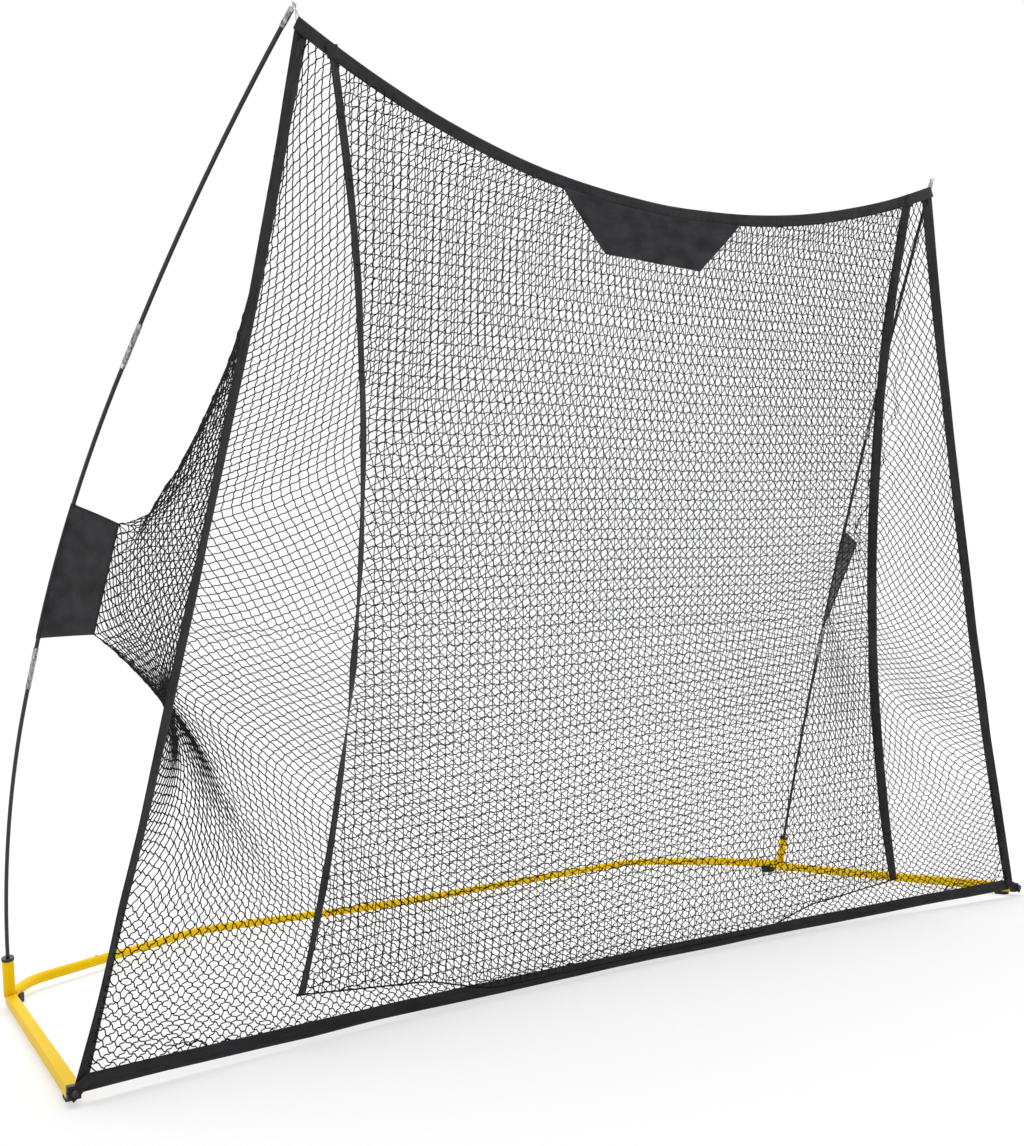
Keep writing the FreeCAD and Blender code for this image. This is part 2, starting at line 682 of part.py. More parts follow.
def make_tip_cap(name, placement):
    """A plug in the tip ferrule, a thin neck for the loop and a round head."""
    plug = s.rod_diameter / 2
    rim = s.ferrule_diameter / 2
    lip = s.tip_length + s.ferrule_edge * 3
    neck_end = lip + s.tip_neck_length
    top = neck_end + s.tip_head_length
    body = turned(name + "_body", [
        (0, s.tip_overlap + s.rod_gap), (plug, s.tip_overlap + s.rod_gap), (plug, s.tip_length),
        (rim, s.tip_length), (rim - s.ferrule_edge, lip), (s.tip_neck / 2, lip),
        (s.tip_neck / 2, neck_end), (s.tip_head / 2, neck_end + s.tip_head_length / 4),
        (s.tip_head / 2, top - s.tip_head_length / 4), (s.tip_head / 3, top), (0, top)])
    keep(body, name, placement)


def make_pole(side_name, side):
    places = pole_places(side)
    joint_gap = s.rod_gap / 2
    make_rod(side_name + "_lower_rod", places["collar"] * up_by(-plain(s.rod_foot)),
             s.rod_foot, s.lower_radius, lower_arc, half_ferrule - joint_gap)
    make_rod(side_name + "_middle_rod", places["first"],
             half_ferrule, s.middle_radius, middle_arc, half_ferrule - joint_gap)
    make_rod(side_name + "_upper_rod", places["second"],
             half_ferrule, s.upper_radius, upper_arc, s.tip_overlap)
    make_ferrule(side_name + "_lower_ferrule", places["first"], s.ferrule_length)
    make_ferrule(side_name + "_upper_ferrule", places["second"], s.ferrule_length)
    make_ferrule(side_name + "_tip_ferrule", places["tip"] * up_by(plain(s.tip_length) / 2), s.tip_length)
    make_tip_cap(side_name + "_tip_cap", places["tip"])


# Back bar

def plan(side, inside, back):
    """A point of the back bar from the side's rail: in from its line, back from its rear end."""
    return Vector(side * (rail_out - plain(inside)), rear_line + plain(back), plain(s.elbow_height))


left_start = plan(-1, 0, 0)
left_bend = plan(-1, s.left_bend_in, s.left_bend_back)
left_turn = plan(-1, s.left_turn_in, s.left_turn_back)
middle_turn = plan(-1, s.middle_turn_in, s.middle_turn_back)
right_turn = plan(1, s.right_turn_in, s.right_turn_back)
right_bend = plan(1, s.right_bend_in, s.right_bend_back)
right_start = plan(1, 0, 0)


def towards(start, end, reach):
    return start + (end - start).normalize() * plain(reach)


left_joint = towards(left_bend, left_turn, s.left_joint_reach)
middle_joint = towards(middle_turn, right_turn, s.middle_joint_reach)
right_joint = towards(right_bend, right_turn, s.right_joint_reach)


def make_tube(name, points, radii, diameter, wall, tools=()):
    """A bent round tube in the plane of the back bar, in the frame of its first run."""
    start = points[0]
    heading = (points[1] - start).normalize()
    place = frame(start, Vector(heading.y, -heading.x, 0), Vector(0, 0, 1))
    local = [place.inverse().multVec(point) for point in points]
    body = new_body(name + "_body")
    spine = new_sketch(body, name + "_line", "XY_Plane")
    tangent_path(spine, [(point.x, point.y) for point in local], radii)
    section = new_sketch(body, name + "_section", "XZ_Plane")
    circle(section, diameter)
    circle(section, diameter - wall * 2)
    piped(body, name + "_tube", spine, section)
    body.Placement = place
    return body


def button_spot(joint, outer_end):
    """Middle of the snap button on the back bar's axis."""
    return towards(joint, outer_end, s.button_inset)


def button_hole(name, spot):
    upright = Placement(spot, Rotation())
    return cylinder(name, s.button_diameter + s.button_gap, s.socket_diameter, upright)


def peg_hole(name, spot):
    """The hole in an elbow's underside for the peg of its foot."""
    low = Placement(Vector(spot.x, spot.y, 0), Rotation())
    return cylinder(name, s.peg_diameter, s.elbow_height, low)


def half_space(name, corner):
    """A block that mitres an elbow at its rail's rear end."""
    block = doc.addObject("Part::Box", name)
    for measure in ("Length", "Width", "Height"):
        bind(block, measure, s.socket_diameter * 4)
    block.Placement = Placement(corner - Vector(1, 2, 1) * plain(s.socket_diameter * 2), Rotation())
    return block


def make_back_bar():
    left_spot = button_spot(left_joint, left_bend)
    middle_spot = button_spot(middle_joint, middle_turn)
    right_spot = button_spot(right_joint, right_bend)
    for name, joint, bend, start, spot in (
        ("left_elbow", left_joint, left_bend, left_start, left_spot),
        ("right_elbow", right_joint, right_bend, right_start, right_spot),
    ):
        beyond = towards(bend, start, (start - bend).Length + plain(s.socket_diameter))
        tube = make_tube(name, [joint, bend, beyond], [s.elbow_radius], s.socket_diameter, s.socket_wall)
        mitre = half_space(name + "_mitre", start)
        keep(without(name, tube, [mitre, button_hole(name + "_hole", spot),
                                  peg_hole(name + "_peg_hole", towards(start, bend, s.saddle_reach))]), name)
    spigot = s.bar_diameter - s.bar_wall * 2 - s.spigot_gap
    left_tail = towards(left_joint, left_bend, s.slip_length)
    tube = make_tube("back_bar_left", [middle_joint, middle_turn, left_turn, left_tail],
                     [s.slack_radius, s.turn_radius], s.bar_diameter, s.bar_wall)
    keep(without("back_bar_left", tube, [button_hole("back_bar_left_hole", left_spot),
                                         button_hole("back_bar_left_end_hole", middle_spot)]),
         "back_bar_left")
    right_tail = towards(right_joint, right_bend, s.slip_length)
    tube = make_tube("back_bar_right", [middle_joint, right_turn, right_tail],
                     [s.tight_radius], s.bar_diameter, s.bar_wall)
    end_tail = towards(middle_joint, middle_turn, s.slip_length)
    swage = make_straight("back_bar_right_swage", towards(middle_joint, right_turn, s.slip_length / 2),
                          end_tail, spigot, s.bar_wall)
    whole = doc.addObject("Part::MultiFuse", "back_bar_right_whole")
    whole.Shapes = [tube, swage]
    keep(without("back_bar_right", whole, [button_hole("back_bar_right_hole", right_spot),
                                           button_hole("back_bar_right_end_hole", middle_spot)]),
         "back_bar_right")
    bore = s.bar_diameter - s.bar_wall * 2
    for name, spot, direction, outer, inner in (
        ("left", left_spot, left_turn - left_bend, s.socket_diameter, bore),
        ("middle", middle_spot, right_turn - middle_turn, s.bar_diameter, spigot - s.bar_wall * 2),
        ("right", right_spot, right_turn - right_bend, s.socket_diameter, bore),
    ):
        make_button(name + "_button", spot, outer, inner)
        make_spring(name + "_button_spring", spot, direction, inner)


def make_straight(name, start, end, diameter, wall):
    """The swaged end: a thinner tube that begins inside the thicker one."""
    outer = (diameter + wall * 2 + s.spigot_gap) / 2
    inner = diameter / 2 - wall
    length = (end - start).Length
    neck = plain(s.slip_length) / 2
    body = turned(name, [(inner, 0), (outer, 0), (outer, neck), (diameter / 2, neck),
                         (diameter / 2, length), (inner, length)])
    heading = (end - start).normalize()
    body.Placement = frame(start, Vector(0, 0, 1), heading)
    return body


def flange_top(inner):
    """Height on the axis at which the button's flange meets the round bore, less a gap."""
    half = plain(s.button_flange) / 2
    return math.sqrt((plain(inner) / 2) ** 2 - half ** 2) - plain(s.seam_gap)


def make_button(name, spot, outer, inner):
    """A domed pin with a flange that stops under the inner tube's wall."""
    top = outer / 2 + s.button_proud
    shank = s.button_diameter / 2
    seat = flange_top(inner)
    low = seat - plain(s.button_flange_height)
    body = turned(name + "_body", [
        (0, low), (s.button_flange / 2, low), (s.button_flange / 2, seat), (shank, seat),
        (shank, top - s.button_proud / 2), (shank * 0.75, top - s.button_proud / 8), (shank * 0.3, top),
        (0, top)])
    keep(body, name, Placement(spot, Rotation()))


def make_spring(name, spot, direction, inner):
    """A strip bent to a V inside the tube: one leaf under the button, one on the bore."""
    high = flange_top(inner) - plain(s.button_flange_height) - plain(s.seam_gap)
    half = plain(s.spring_width) / 2
    low = plain(s.seam_gap) - math.sqrt((plain(inner) / 2) ** 2 - half ** 2)
    strip = plain(s.spring_strip)
    end = -plain(s.spring_length) + plain(s.button_flange)
    tip = plain(s.button_flange) / 2
    knee = (high + low) / 2 - strip
    body = new_body(name + "_body")
    side_view = new_sketch(body, name + "_side_view", "XZ_Plane")
    outline(side_view, [(tip, high), (-tip, high), (end, knee + strip), (end - strip, knee),
                        (end, knee - strip), (-tip, low), (tip, low), (tip, low + strip),
                        (-tip + strip / 4, low + strip), (end + strip, knee),
                        (-tip + strip / 4, high - strip), (tip, high - strip)])
    leaf = pad(body, name + "_leaf", side_view, s.spring_width)
    leaf.Midplane = True
    heading = Vector(direction.x, direction.y, 0).normalize()
    keep(body, name, frame(spot, heading, Vector(0, 0, 1)))


# Front of the net: a shallow cylinder that leans towards the golfer

PAST_ENDS = 1.3  # how much longer a cutting outline is than what it cuts

foot_out = inside(s.side_foot_in)
corner_out = inside(s.top_corner_in)
front_radius = (foot_out ** 2 + plain(s.front_bow) ** 2) / (2 * plain(s.front_bow))
front_angle = math.radians(plain(s.front_lean))
front_back = Vector(0, math.cos(front_angle), math.sin(front_angle))
front_place = frame(at(0, s.front_step, 0), Vector(1, 0, 0), front_back)


def bow_depth(out):
    """How far the front lies behind its chord at a distance from the middle."""
    return math.sqrt(front_radius ** 2 - out ** 2) - front_radius + plain(s.front_bow)


def front_point(out, rise, depth=0.0):
    """A point of the front surface in the object's frame."""
    flat = Vector(out, -rise, bow_depth(out) + depth)
    return front_place.multVec(flat)


def front_normal(out):
    """The way straight back out of the front surface."""
    flat = Vector(out, 0, math.sqrt(front_radius ** 2 - out ** 2))
    return front_place.Rotation.multVec(flat).normalize()


def arc_through(low, middle, high):
    """An arc in the front's flat plan through three (out, rise) points."""
    spots = [Vector(out, -rise, 0) for out, rise in (low, middle, high)]
    return Part.Arc(*spots).toShape()


def flat_line(start, end):
    return Part.makeLine(Vector(start[0], -start[1], 0), Vector(end[0], -end[1], 0))


def flat_face(edges):
    return Part.Face(Part.Wire(edges))


def front_solid(face, near=0.0, thickness=None):
    """The part of the curved sheet that lies over a flat plan."""
    thickness = plain(s.cloth_thickness) if thickness is None else thickness
    reach = plain(s.front_bow) * 3
    prism = face.copy()
    prism.translate(Vector(0, 0, -reach / 2))
    prism = prism.extrude(Vector(0, 0, reach))
    tall = plain(s.top_corner_rise) * 2
    foot = Vector(0, tall, plain(s.front_bow) - front_radius)
    skins = [Part.makeCylinder(front_radius + depth, tall * 2, foot, Vector(0, -1, 0))
             for depth in (near, near + thickness)]
    return prism.common(skins[1]).cut(skins[0])


def keep_soft(name, shape, placement=None):
    """A cloth piece, whose shape comes from the sizes above."""
    solids = shape.Solids
    feature = doc.addObject("Part::Feature", name + "_shape")
    feature.Shape = solids[0] if len(solids) == 1 else shape
    return keep(feature, name, placement)


def side_edge(side, inset):
    """The front's outer edge on one side, moved in by the inset, from its foot to above the top."""
    foot = (side * (foot_out - inset), plain(s.side_foot_rise))
    middle = (side * (inside(s.side_middle_in) - inset), plain(s.side_middle_rise))
    top = (side * (corner_out - inset), plain(s.top_corner_rise))
    return foot, middle, top


def top_edge(drop):
    """The front's top edge, moved down by the drop."""
    corner = plain(s.top_corner_rise) - drop
    return (-corner_out, corner), (0, plain(s.top_middle_rise) - drop), (corner_out, corner)


def hem_edge(side, inset):
    foot = (side * (inside(s.hem_foot_in) - inset), plain(s.hem_foot_rise))
    middle = (side * (inside(s.hem_middle_in) - inset), plain(s.hem_middle_rise))
    top = (side * (inside(s.hem_top_in) - inset), plain(s.hem_top_rise))
    return foot, middle, top


def strip_between(first, second):
    """A flat strip between two arcs that run the same way."""
    return flat_face([arc_through(*first), flat_line(first[2], second[2]),
                      arc_through(*reversed(second)), flat_line(second[0], first[0])])


def above_arc(arc):
    """Everything above an arc across the front, to cut strips that reach too far."""
    tall = plain(s.top_corner_rise) * 2
    left, middle, right = arc
    return flat_face([arc_through(*arc), flat_line(right, (right[0], tall)),
                      flat_line((right[0], tall), (left[0], tall)), flat_line((left[0], tall), left)])


def widened(arc):
    """The same circle, carried on past both ends of an arc across the front."""
    left, middle, right = arc
    rise = left[1] - middle[1]
    half = right[0]
    radius = (half ** 2 + rise ** 2) / (2 * rise)
    out = half * PAST_ENDS
    high = middle[1] + radius - math.sqrt(radius ** 2 - out ** 2)
    return (-out, high), middle, (out, high)


def floor_rise(out):
    """How far up the front the floor lies at a distance from the middle."""
    depth = bow_depth(out) * math.sin(front_angle)
    return (plain(s.floor_gap) - depth) / math.cos(front_angle)


def make_tapes():
    width = plain(s.tape_width)
    seam = plain(s.seam_gap)
    top_strip = strip_between(top_edge(0), top_edge(width))
    keep_soft("top_tape", front_solid(top_strip), front_place)
    over_top = above_arc(widened(top_edge(width + seam)))
    for side_name, side in SIDES:
        strip = strip_between(side_edge(side, 0), side_edge(side, width)).cut(over_top)
        keep_soft(side_name + "_edge_tape", front_solid(strip), front_place)
        hem = strip_between(hem_edge(side, 0), hem_edge(side, width)).cut(over_top)
        keep_soft(side_name + "_hem", front_solid(hem), front_place)
    reach = foot_out - width - seam
    low = [(-reach, floor_rise(reach)), (0, floor_rise(0)), (reach, floor_rise(reach))]
    high = [(out, rise + width) for out, rise in low]
    bottom = strip_between(low, high)
    keep_soft("bottom_tape", front_solid(bottom), front_place)


def arc_value(arc, along, index):
    """The other coordinate of an arc's circle, where one coordinate is given."""
    circle_shape = Part.Arc(*[Vector(a, b, 0) for a, b in arc]).toShape().Curve
    centre = circle_shape.Center
    radius = circle_shape.Radius
    middle = arc[1]
    if index == 0:
        half = math.sqrt(radius ** 2 - (along - centre.y) ** 2)
        return centre.x + math.copysign(half, middle[0] - centre.x)
    half = math.sqrt(radius ** 2 - (along - centre.x) ** 2)
    return centre.y + math.copysign(half, middle[1] - centre.y)


def net_gaps(top, low, inset):
    """Flat diamonds on a steady lattice, as many as lie whole inside the border."""
    wide = plain(s.gap_width)
    tall = plain(s.gap_height)
    slope = math.hypot(wide, tall)
    half_across = (wide - plain(s.cord_width) * slope / tall) / 2
    half_up = (tall - plain(s.cord_width) * slope / wide) / 2
    border = plain(s.net_border)
    rows = int(plain(s.top_corner_rise) / tall * 2) + 2
    columns = int(inside(s.hem_foot_in) / wide) + 2
    side = hem_edge(1, inset)
    gaps = []
    for row in range(rows):
        rise = plain(s.belly_rise) + tall * (row + 1) / 2
        for column in range(-columns, columns + 1):
            out = wide * (column + (row % 2) / 2)
            reach = abs(out) + half_across + border
            if rise + half_up + border > arc_value(top, out, 1):
                continue
            if rise - half_up - border < arc_value(low, out, 1):
                continue
            if rise > plain(s.hem_top_rise) or reach > arc_value(side, rise, 0):
                continue
            points = [(out - half_across, rise), (out, rise - half_up),
                      (out + half_across, rise), (out, rise + half_up)]
            gaps.append([flat_line(points[n], points[(n + 1) % 4]) for n in range(4)])
    return gaps


def make_hitting_net():
    """The inner net: one holed face on the curved front, between the hems."""
    inset = plain(s.tape_width) + plain(s.seam_gap)
    left = hem_edge(-1, inset)
    right = hem_edge(1, inset)
    low = (left[0], (0, plain(s.belly_rise)), right[0])
    rim = [arc_through(*low), arc_through(*right), flat_line(right[2], top_corner(right)),
           flat_line(top_corner(right), top_corner(left)), flat_line(top_corner(left), left[2]),
           arc_through(*reversed(left))]
    plan_face = flat_face(rim).cut(above_arc(widened(top_edge(inset))))
    outer = plan_face.Faces[0].OuterWire
    gaps = net_gaps(top_edge(inset), low, inset)
    wires = [outer] + [Part.Wire(gap) for gap in gaps]
    holed = Part.Face(wires, "Part::FaceMakerBullseye")
    print("hitting net:", len(gaps), "gaps")
    keep_soft("hitting_net", front_solid(holed), front_place)


def top_corner(hem):
    return hem[2][0], plain(s.top_corner_rise) * PAST_ENDS


def make_patch():
    """The plain cloth trapezoid in front of the hitting net, under the top tape."""
    top = plain(s.top_middle_rise) - plain(s.tape_width) - plain(s.patch_drop)
    low = top - plain(s.patch_height)
    wide = plain(s.patch_top) / 2
    narrow = plain(s.patch_bottom) / 2
    corners = [(-narrow, low), (narrow, low), (wide, top), (-wide, top)]
    face = flat_face([flat_line(corners[n], corners[(n + 1) % 4]) for n in range(4)])
    near = -plain(s.seam_gap) - plain(s.cloth_thickness)
    keep_soft("header_patch", front_solid(face, near), front_place)


# Flags and the outer net

def flag_corner(inset, ahead, rise, side, clear=0.0):
    """A point inside the rail's line, ahead of the rails' rear ends and above the floor."""
    return at(inside(inset) + clear, s.rail_length - ahead, rise, side)


def make_flag(side_name, side):
    """A sleeve on the middle rod and a panel to the outer net."""
    places = pole_places(side)
    start = plain(s.flag_start) - plain(s.lower_length + half_ferrule)
    radius = plain(s.middle_radius)
    length = plain(s.flag_length)
    base = places["first"] * up_by(plain(half_ferrule)) * along_arc(radius, start)
    end = base * along_arc(radius, length)
    bore = plain(s.rod_diameter + s.rod_gap) / 2
    outer = bore + plain(s.flag_sleeve)
    sleeve = bent_rod(base, outer, radius, length)
    past = plain(s.ferrule_diameter)
    hole = bent_rod(base * along_arc(radius, -past), bore, radius, length + past * 2)
    clear = plain(s.cloth_thickness * 1.5 + s.seam_gap)
    top = flag_corner(s.flag_top_in, s.flag_top_inset, s.flag_top_rise, side, clear)
    foot = flag_corner(s.flag_foot_in, s.flag_foot_inset, s.flag_foot_rise, side, clear)
    corners = [base.Base, end.Base, top, foot]
    middle = (top + foot) * 0.5
    normal = (end.Base - base.Base).cross(middle - base.Base).normalize()
    centre = (base.Base + end.Base) * 0.5
    flat = [point - normal * (point - centre).dot(normal) for point in corners]
    face = Part.Face(Part.makePolygon(flat + flat[:1]))
    thickness = plain(s.flag_sleeve)
    face.translate(normal * (-thickness / 2))
    panel = face.extrude(normal * thickness)
    keep_soft(side_name + "_flag", sleeve.fuse(panel).cut(hole).removeSplitter())


def bent_rod(start, radius, bend, length):
    """A round rod along an arc that starts in the given frame and bends towards its x."""
    ring = Part.Face(Part.Wire(Part.makeCircle(radius)))
    turn = math.degrees(length / bend)
    rod = ring.revolve(Vector(bend, 0, 0), Vector(0, 1, 0), turn)
    rod.Placement = start
    return rod


def net_levels(side):
    """Points of the outer net's two bends on one side, from the top down, with its middle."""
    lift = plain(s.cloth_thickness) + plain(s.seam_gap)
    behind = lift + plain(s.cloth_thickness)
    corner = corner_out - plain(s.net_ridge)
    hang = plain(s.net_hang)
    top = front_point(side * corner, arc_value(top_edge(hang), corner, 1), behind)
    top_middle = front_point(0, plain(s.top_middle_rise) - hang, behind)
    flag_top = flag_corner(s.flag_top_in, s.flag_top_inset, s.flag_top_rise, side)
    flag_foot = flag_corner(s.flag_foot_in, s.flag_foot_inset, s.flag_foot_rise, side)
    bag = flag_corner(s.bag_in, s.bag_inset, s.bag_rise, side)
    floor = flag_corner(s.floor_in, s.floor_inset, s.floor_rise, side)
    low_corner = foot_out - plain(s.net_foot_in)
    low = front_point(side * low_corner, floor_rise(low_corner) + plain(s.net_foot), lift)
    low_middle = front_point(0, floor_rise(0) + plain(s.net_foot), lift)

    def sagged(edge, sag):
        return Vector(0, edge.y + plain(sag), edge.z)

    return [
        (top, top_middle),
        (flag_top, sagged(flag_top, -s.back_top_sag)),
        (flag_foot, sagged(flag_foot, -s.back_foot_sag)),
        (bag, sagged(bag, s.bag_sag)),
        (floor, sagged(floor, s.floor_sag)),
        (low, low_middle),
    ]


def level_normals(line):
    """For each point of a line down the net, the way into the bag."""
    normals = []
    for index in range(len(line)):
        before = line[max(index - 1, 0)]
        after = line[min(index + 1, len(line) - 1)]
        down = (after - before).normalize()
        normals.append(down.cross(Vector(1, 0, 0)).normalize())
    return normals


def ruled_solid(near, far):
    """A closed solid between two rows of edges, level by level, that run the same way."""

    def spread(first, second):
        return Part.makeRuledSurface(first, second)

    def ends(edge):
        return edge.valueAt(edge.FirstParameter), edge.valueAt(edge.LastParameter)

    faces = [spread(near[0], far[0]), spread(near[-1], far[-1])]
    for index in range(len(near) - 1):
        for row in (near, far):
            faces.append(spread(row[index], row[index + 1]))
        for end in (0, 1):
            rungs = [Part.makeLine(ends(row[index])[end], ends(row[index + 1])[end]) for row in (near, far)]
            faces.append(spread(*rungs))
    shell = Part.makeShell(faces)
    shell.sewShape()
    solid = Part.makeSolid(shell)
    if solid.Volume < 0:
        solid.reverse()
    return solid


def make_back_net():
    """The outer net between the two flags, as bands of cloth from level to level."""
    left = net_levels(-1)
    right = net_levels(1)
    normals = level_normals([middle for edge, middle in left])
    inward = Vector(plain(s.seam_gap), 0, 0)
    near = []
    far = []
    for (start, middle), (end, same), normal in zip(left, right, normals):
        lift = normal * plain(s.cloth_thickness)
        near.append(Part.Arc(start + inward, middle, end - inward).toShape())
        far.append(Part.Arc(start + inward + lift, middle + lift, end - inward + lift).toShape())
    keep_soft("back_net", ruled_solid(near, far))


def make_wing(side_name, side):
    """The outer net between the edge tape and its bend at the flag."""
    levels = net_levels(side)[:5]
    lift = plain(s.cloth_thickness) + plain(s.seam_gap)
    edge = side_edge(side, plain(s.net_lap))
    highest = plain(s.top_corner_rise) - plain(s.tape_width) * 2
    lowest = plain(s.side_foot_rise) + plain(s.tape_width) / 2
    thickness = plain(s.cloth_thickness)
    seam = plain(s.seam_gap) * 2
    wires = []
    for ridge, middle in levels:
        level = (ridge.z - plain(s.foot_height)) / math.cos(front_angle)
        rise = max(min(level, highest), lowest)
        start = front_point(arc_value(edge, rise, 0), rise, lift)
        across = (ridge - start).normalize()
        end = ridge - across * seam + Vector(side, 0, 0) * seam
        lateral = Vector(side, 0, 0) - across * across.dot(Vector(side, 0, 0))
        push = lateral.normalize() * thickness
        wires.append(Part.makePolygon([start, end, end + push, start + push, start]))
    keep_soft(side_name + "_wing_net", Part.makeLoft(wires, True, True))


# Corners of the net

def make_corner_loop(side_name, side):
    """A ring of elastic from under the tip cap's head to the upper corner of the net."""
    wire = plain(s.loop_wire) / 2
    head = s.tip_length + s.ferrule_edge * 3 + s.tip_neck_length
    neck = pole_places(side)["tip"] * up_by(plain(head - s.seam_gap) - wire)
    half = plain(s.loop_half)
    drop = plain(s.net_hang)
    out = corner_out - drop
    behind = plain(s.cloth_thickness) + plain(s.seam_gap) + wire
    tip = front_point(side * out, arc_value(top_edge(drop), out, 1), behind)
    reach = (tip - neck.Base).normalize()
    up = neck.Rotation.multVec(Vector(0, 0, 1))
    slack = half - (wire + plain(s.tip_neck) / 2 + plain(s.seam_gap))
    ring = Part.Shape()
    strand_ends = []
    bends = ((neck.Base, up, -1, slack), (tip, front_normal(side * out), 1, -half))
    for start, upright, way, step in bends:
        across = upright.cross(reach).normalize()
        ahead = across.cross(upright)
        centre = start + ahead * step
        bend = Part.makeTorus(half, wire, Vector(), Vector(0, 0, 1), -180, 180, 180)
        bend.Placement = frame(centre, across * way, ahead.cross(across))
        ring = bend if ring.isNull() else ring.fuse(bend)
        strand_ends.append([centre - across * half, centre + across * half])
    for low, high in zip(*strand_ends):
        strand = high - low
        ring = ring.fuse(Part.makeCylinder(wire, strand.Length, low, strand))
        for knuckle in (low, high):
            ring = ring.fuse(Part.makeSphere(wire, knuckle))
    keep_soft(side_name + "_corner_loop", ring.removeSplitter())


def make_strap(side_name, side):
    """A strap from the edge tape's foot to the hook on the rail cap."""
    thickness = plain(s.cloth_thickness)
    hook_back = -plain(s.cap_face) - plain(s.neck_length) / 2
    hook = at(rail_out, hook_back, rail_axis_rise, side)
    width = plain(s.tape_width)
    foot = plain(s.side_foot_rise) - plain(s.seam_gap)
    outer = front_point(side * foot_out, foot)
    inner = front_point(side * (foot_out - width), foot)
    top_middle = (outer + inner) * 0.5
    run = Vector(hook.x - top_middle.x, 0, hook.z - top_middle.z).normalize()
    across = Vector(-run.z, 0, run.x) * (plain(s.strap_width) / 2)
    if across.x * side < 0:
        across = -across
    above = hook - run * plain(s.neck_diameter) * 1.5
    below = hook + run * plain(s.head_diameter)
    deep = Vector(0, thickness, 0)
    sections = [
        [outer, inner, inner + deep, outer + deep],
        [above + across, above - across, above - across + deep, above + across + deep],
        [below + across, below - across, below - across + deep, below + across + deep],
    ]
    wires = [Part.makePolygon(section + section[:1]) for section in sections]
    strap = Part.makeLoft(wires, True, True)
    bore = plain(s.neck_diameter + s.strap_hole_gap) / 2
    hole = Part.makeCylinder(bore, plain(s.head_diameter), hook - Vector(0, 1, 0) * plain(s.head_diameter) / 2,
                             Vector(0, 1, 0))
    keep_soft(side_name + "_corner_strap", strap.cut(hole))


def check_all():
    for thing in doc.Objects:
        if "Invalid" in thing.State or "Error" in thing.State:
            raise ValueError(thing.Label + " failed: " + str(thing.State))
    for thing in finished:
        shape = thing.Shape
        if shape.isNull() or not shape.isValid() or not shape.Solids:
            raise ValueError(thing.Label + " has no valid solid")


def write_all():
    os.makedirs("parts", exist_ok=True)
    for thing in finished:
        thing.Shape.exportStep(os.path.join("parts", thing.Label + ".step"))


def main():
    for side_name, side in SIDES:
        make_rail(side_name, side)
        make_rail_cap(side_name, side)
        make_foot("front_%s_foot" % side_name, side)
        make_socket(side_name, side)
        make_liner(side_name, side)
        make_pole(side_name, side)
    make_back_bar()
    make_saddle_foot("rear_left_foot", left_start, left_bend)
    make_saddle_foot("rear_right_foot", right_start, right_bend)
    make_tapes()
    make_hitting_net()
    make_patch()
    for side_name, side in SIDES:
        make_flag(side_name, side)
        make_wing(side_name, side)
        make_strap(side_name, side)
        make_corner_loop(side_name, side)
    make_back_net()
    doc.recompute()
    check_all()
    write_all()
    box = FreeCAD.BoundBox()
    for thing in finished:
        box.add(thing.Shape.BoundBox)
    print("pieces:", len(finished), "box:", box)


main()
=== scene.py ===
import json
import math
import bpy
import numpy as np
from mathutils import Matrix, Vector
from mathutils.bvhtree import BVHTree


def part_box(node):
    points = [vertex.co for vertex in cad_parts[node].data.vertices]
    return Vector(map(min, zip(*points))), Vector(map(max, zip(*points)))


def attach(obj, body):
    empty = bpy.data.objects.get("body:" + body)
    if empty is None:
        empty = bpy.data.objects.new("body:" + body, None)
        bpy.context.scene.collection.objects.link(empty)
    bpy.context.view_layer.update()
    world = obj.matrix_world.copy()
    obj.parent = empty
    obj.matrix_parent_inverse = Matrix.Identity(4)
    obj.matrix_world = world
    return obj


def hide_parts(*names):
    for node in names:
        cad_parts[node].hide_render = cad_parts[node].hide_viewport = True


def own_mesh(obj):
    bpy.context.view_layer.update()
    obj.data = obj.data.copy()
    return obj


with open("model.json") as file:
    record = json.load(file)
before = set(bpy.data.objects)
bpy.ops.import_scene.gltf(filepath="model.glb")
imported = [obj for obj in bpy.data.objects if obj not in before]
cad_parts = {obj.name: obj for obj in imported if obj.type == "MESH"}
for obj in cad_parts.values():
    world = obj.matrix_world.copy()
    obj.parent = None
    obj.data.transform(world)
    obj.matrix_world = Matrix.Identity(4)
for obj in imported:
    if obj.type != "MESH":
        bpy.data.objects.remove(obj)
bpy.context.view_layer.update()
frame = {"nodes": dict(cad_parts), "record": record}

# A golf practice net. Metres, Z up from the floor, Y away from the golfer.

nodes = frame["nodes"]
SIDES = (("left", -1), ("right", 1))


def add_object(name, data):
    """A new object in the scene."""
    thing = bpy.data.objects.new(name, data)
    bpy.context.scene.collection.objects.link(thing)
    return thing


# Camera

CAMERA_PLACE = Vector((-1.897, -3.2871, 0.685))
CAMERA_YAW = math.radians(30.62)
CAMERA_PITCH = math.radians(8.22)
CAMERA_ROLL = math.radians(-4.46)
CAMERA_LENS = 34.678
CAMERA_SENSOR = 36
CAMERA_NEAR = 0.05
CAMERA_FAR = 400


